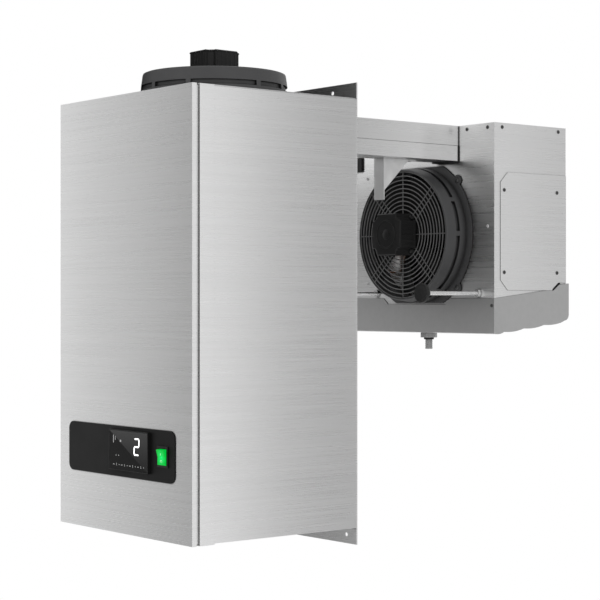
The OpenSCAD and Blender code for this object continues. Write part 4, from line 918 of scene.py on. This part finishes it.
def rocker(paint):
    """The lens, with a valley across its middle, a raised bar and a raised ring, and its two pins."""
    joint = [j for j in frame["joints"] if j["name"] == "rocker_tilt"][0]
    at = Matrix.Translation(joint["pos_m"]) @ Matrix.Rotation(math.radians(ROCKER_TILT), 4, "X")
    low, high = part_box("rocker_frame")
    half_x = (high.x - low.x) / 2 / MM - ROCKER_BORDER
    outline = [(LENS_BACK, LENS_HALF * LENS_HEEL), (LENS_BACK, -LENS_HALF * LENS_HEEL), (0, -LENS_HALF)]
    for i in range(LENS_STEPS + 1):
        share = 2 * i / LENS_STEPS - 1
        dip = LENS_VALLEY * (1 - abs(share)) ** LENS_CURVE
        outline.append((dip - LENS_FRONT, share * LENS_HALF))
    outline.append((0, LENS_HALF))
    shape = Shape()
    shape.grid([[(x, y, z) for y, z in outline] for x in (-half_x, half_x)], around=True, caps=True)
    for side in (-1, 1):
        end = moved(side * half_x, 0, 0) @ Matrix.Rotation(side * math.pi / 2, 4, "Y")
        shape.lathe([(0, 0), (PIN_R, 0), (PIN_R, PIN_LENGTH), (0, PIN_LENGTH)], 16, at=end)
    shape.piece("rocker_lens", "rocker", "lit_green", paint["lit_green"], at, ["rocker_button"],
                smooth=30, rounding=0.5)

    signs = Shape()
    level = LENS_VALLEY / 2 - LENS_FRONT - SIGN_SINK
    upper, lower = (moved(0, level, side * LENS_HALF / 2)
                    @ Matrix.Rotation(-side * LENS_VALLEY / LENS_HALF, 4, "X") for side in (1, -1))
    signs.block((-BAR_HALF[0], BAR_FROM, -BAR_HALF[1]), (BAR_HALF[0], BAR_TO, BAR_HALF[1]), at=upper)
    signs.ring(RING_R, 0, RING_WIRE, RING_STEPS, at=lower @ Matrix.Rotation(math.pi / 2, 4, "X"))
    finish = Finish("rocker_mark", grey(0.8), roughness=0.4)
    finish.tint(finish.noise((700, 700, 700)), (0.3, 0.6, 0.35, 1), (0.4, 0.7, 0.45, 1))
    finish.glow((0.35, 1.0, 0.5, 1), 0.35)
    signs.piece("rocker_marks", "rocker", "lit_green", finish.material, at)


def dress(paint):
    """Gives every node that stays its finish, by its slot in the record."""
    for part in frame["record"]["subparts"]:
        node = part["node"]
        made = frame["nodes"][node]
        made.data.materials.clear()
        made.data.materials.append(paint[OWN_FINISH.get(node, part["material_slot"])])


def bare_material(name):
    """A material with nothing but its output."""
    material = bpy.data.materials.new(name)
    material.use_nodes = True
    tree = material.node_tree
    tree.nodes.clear()
    return material, tree, tree.nodes.new("ShaderNodeOutputMaterial")


def card_paint(name, levels):
    """Shines on the front only; levels are (share along the card, brightness)."""
    material, tree, out = bare_material(name)
    place = tree.nodes.new("ShaderNodeUVMap")
    apart = tree.nodes.new("ShaderNodeSeparateXYZ")
    ramp = tree.nodes.new("ShaderNodeValToRGB")
    ramp.color_ramp.interpolation = "EASE"
    stops = ramp.color_ramp.elements
    while len(stops) < len(levels):
        stops.new(0.5)
    for stop, (share, level) in zip(stops, levels):
        stop.position = share
        stop.color = grey(level)
    shine = tree.nodes.new("ShaderNodeEmission")
    side = tree.nodes.new("ShaderNodeNewGeometry")
    clear = tree.nodes.new("ShaderNodeBsdfTransparent")
    mix = tree.nodes.new("ShaderNodeMixShader")
    tree.links.new(place.outputs["UV"], apart.inputs["Vector"])
    tree.links.new(apart.outputs["X"], ramp.inputs["Fac"])
    tree.links.new(ramp.outputs["Color"], shine.inputs["Color"])
    tree.links.new(side.outputs["Backfacing"], mix.inputs["Fac"])
    tree.links.new(clear.outputs["BSDF"], mix.inputs[1])
    tree.links.new(shine.outputs["Emission"], mix.inputs[2])
    tree.links.new(mix.outputs["Shader"], out.inputs["Surface"])
    return material


def card(name, start, end, low, high, levels):
    """An upright reflector card that only gloss sees, and only from the left of the way from start to end."""
    mesh = bpy.data.meshes.new(name)
    corners = [(*start, low), (*end, low), (*end, high), (*start, high)]
    mesh.from_pydata(corners, [], [(0, 1, 2, 3)])
    layer = mesh.uv_layers.new(name="along")
    for loop, uv in zip(layer.data, ((0, 0), (1, 0), (1, 1), (0, 1))):
        loop.uv = uv
    mesh.materials.append(card_paint(name, levels))
    made = placed(name, mesh)
    made.visible_camera = False
    made.visible_diffuse = False
    made.visible_shadow = False
    made.visible_transmission = False
    made.visible_volume_scatter = False


def background_rays(tree):
    """1 for rays that should see the pale background, from the camera, in gloss or through glass."""
    rays = tree.nodes.new("ShaderNodeLightPath")
    total = rays.outputs["Is Camera Ray"]
    for kind in ("Is Glossy Ray", "Is Transmission Ray"):
        more = tree.nodes.new("ShaderNodeMath")
        more.operation = "MAXIMUM"
        tree.links.new(total, more.inputs[0])
        tree.links.new(rays.outputs[kind], more.inputs[1])
        total = more.outputs["Value"]
    return total


def studio():
    """White surroundings, soft lamps, reflector cards for the steel, and a pale floor."""
    world = bpy.data.worlds.new("studio")
    bpy.context.scene.world = world
    world.use_nodes = True
    tree = world.node_tree
    base = tree.nodes["Background"]
    base.inputs["Color"].default_value = WHITE
    base.inputs["Strength"].default_value = WORLD_STRENGTH
    white = tree.nodes.new("ShaderNodeBackground")
    white.inputs["Color"].default_value = WHITE
    white.inputs["Strength"].default_value = 1.0
    mix = tree.nodes.new("ShaderNodeMixShader")
    tree.links.new(background_rays(tree), mix.inputs["Fac"])
    tree.links.new(base.outputs["Background"], mix.inputs[1])
    tree.links.new(white.outputs["Background"], mix.inputs[2])
    tree.links.new(mix.outputs["Shader"], tree.nodes["World Output"].inputs["Surface"])

    for name, values in LAMPS.items():
        soft_lamp(name, *values)
    for name, values in CARDS.items():
        card(name, *values)
    floor_disc()


def soft_lamp(name, at, size, power):
    """A round lamp that faces the origin and isn't seen in gloss."""
    lamp = bpy.data.lights.new(name, "AREA")
    lamp.shape = "DISK"
    lamp.size = size
    lamp.energy = power
    made = placed(name, lamp)
    made.location = at
    made.rotation_euler = Vector(at).to_track_quat("Z", "Y").to_euler()
    made.visible_glossy = False


def floor_disc():
    """A pale floor, so far below that its edge stays out of the photograph's view."""
    rim = turn(96)
    mesh = bpy.data.meshes.new("floor")
    mesh.from_pydata([(FLOOR_R * math.cos(a), FLOOR_R * math.sin(a), FLOOR_LEVEL) for a in rim], [],
                     [list(range(len(rim)))])
    material, tree, out = bare_material("floor")
    matt = tree.nodes.new("ShaderNodeBsdfDiffuse")
    matt.inputs["Color"].default_value = grey(FLOOR_GREY)
    lift = tree.nodes.new("ShaderNodeEmission")
    lift.inputs["Color"].default_value = WHITE
    share = tree.nodes.new("ShaderNodeMath")
    share.operation = "MULTIPLY"
    share.inputs[1].default_value = FLOOR_LIFT
    total = tree.nodes.new("ShaderNodeAddShader")
    tree.links.new(background_rays(tree), share.inputs[0])
    tree.links.new(share.outputs["Value"], lift.inputs["Strength"])
    tree.links.new(matt.outputs["BSDF"], total.inputs[0])
    tree.links.new(lift.outputs["Emission"], total.inputs[1])
    tree.links.new(total.outputs["Shader"], out.inputs["Surface"])
    mesh.materials.append(material)
    placed("floor", mesh)


def camera():
    """Looks level at the unit from its front right."""
    view = bpy.data.cameras.new("view")
    view.lens = CAMERA_LENS
    view.sensor_width = SENSOR
    made = placed("view", view)
    made.location = CAMERA_AT
    made.rotation_euler = (math.pi / 2, 0, math.radians(CAMERA_TURN))
    bpy.context.scene.camera = made


def main():
    camera()
    paint = finishes()
    dress(paint)
    for fan, at in fan_frames().items():
        guard(fan, at, paint)
        motor(fan, at, paint)
        impeller(fan, at, paint)
    coil("condenser_fins", paint, COND_SKIRT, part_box("condenser_fins")[0].z / MM + COND_COIL_H)
    coil("evap_fins", paint, EVAP_SKIRT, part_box("evap_fins")[1].z / MM - EVAP_COIL_DROP)
    screws(paint)
    spacer("left", "left_spacer", paint)
    spacer("right", "right_spacer", paint)
    digit_two(paint)
    display_marks()
    rocker(paint)
    studio()
    bpy.context.scene.view_settings.view_transform = "Standard"


main()
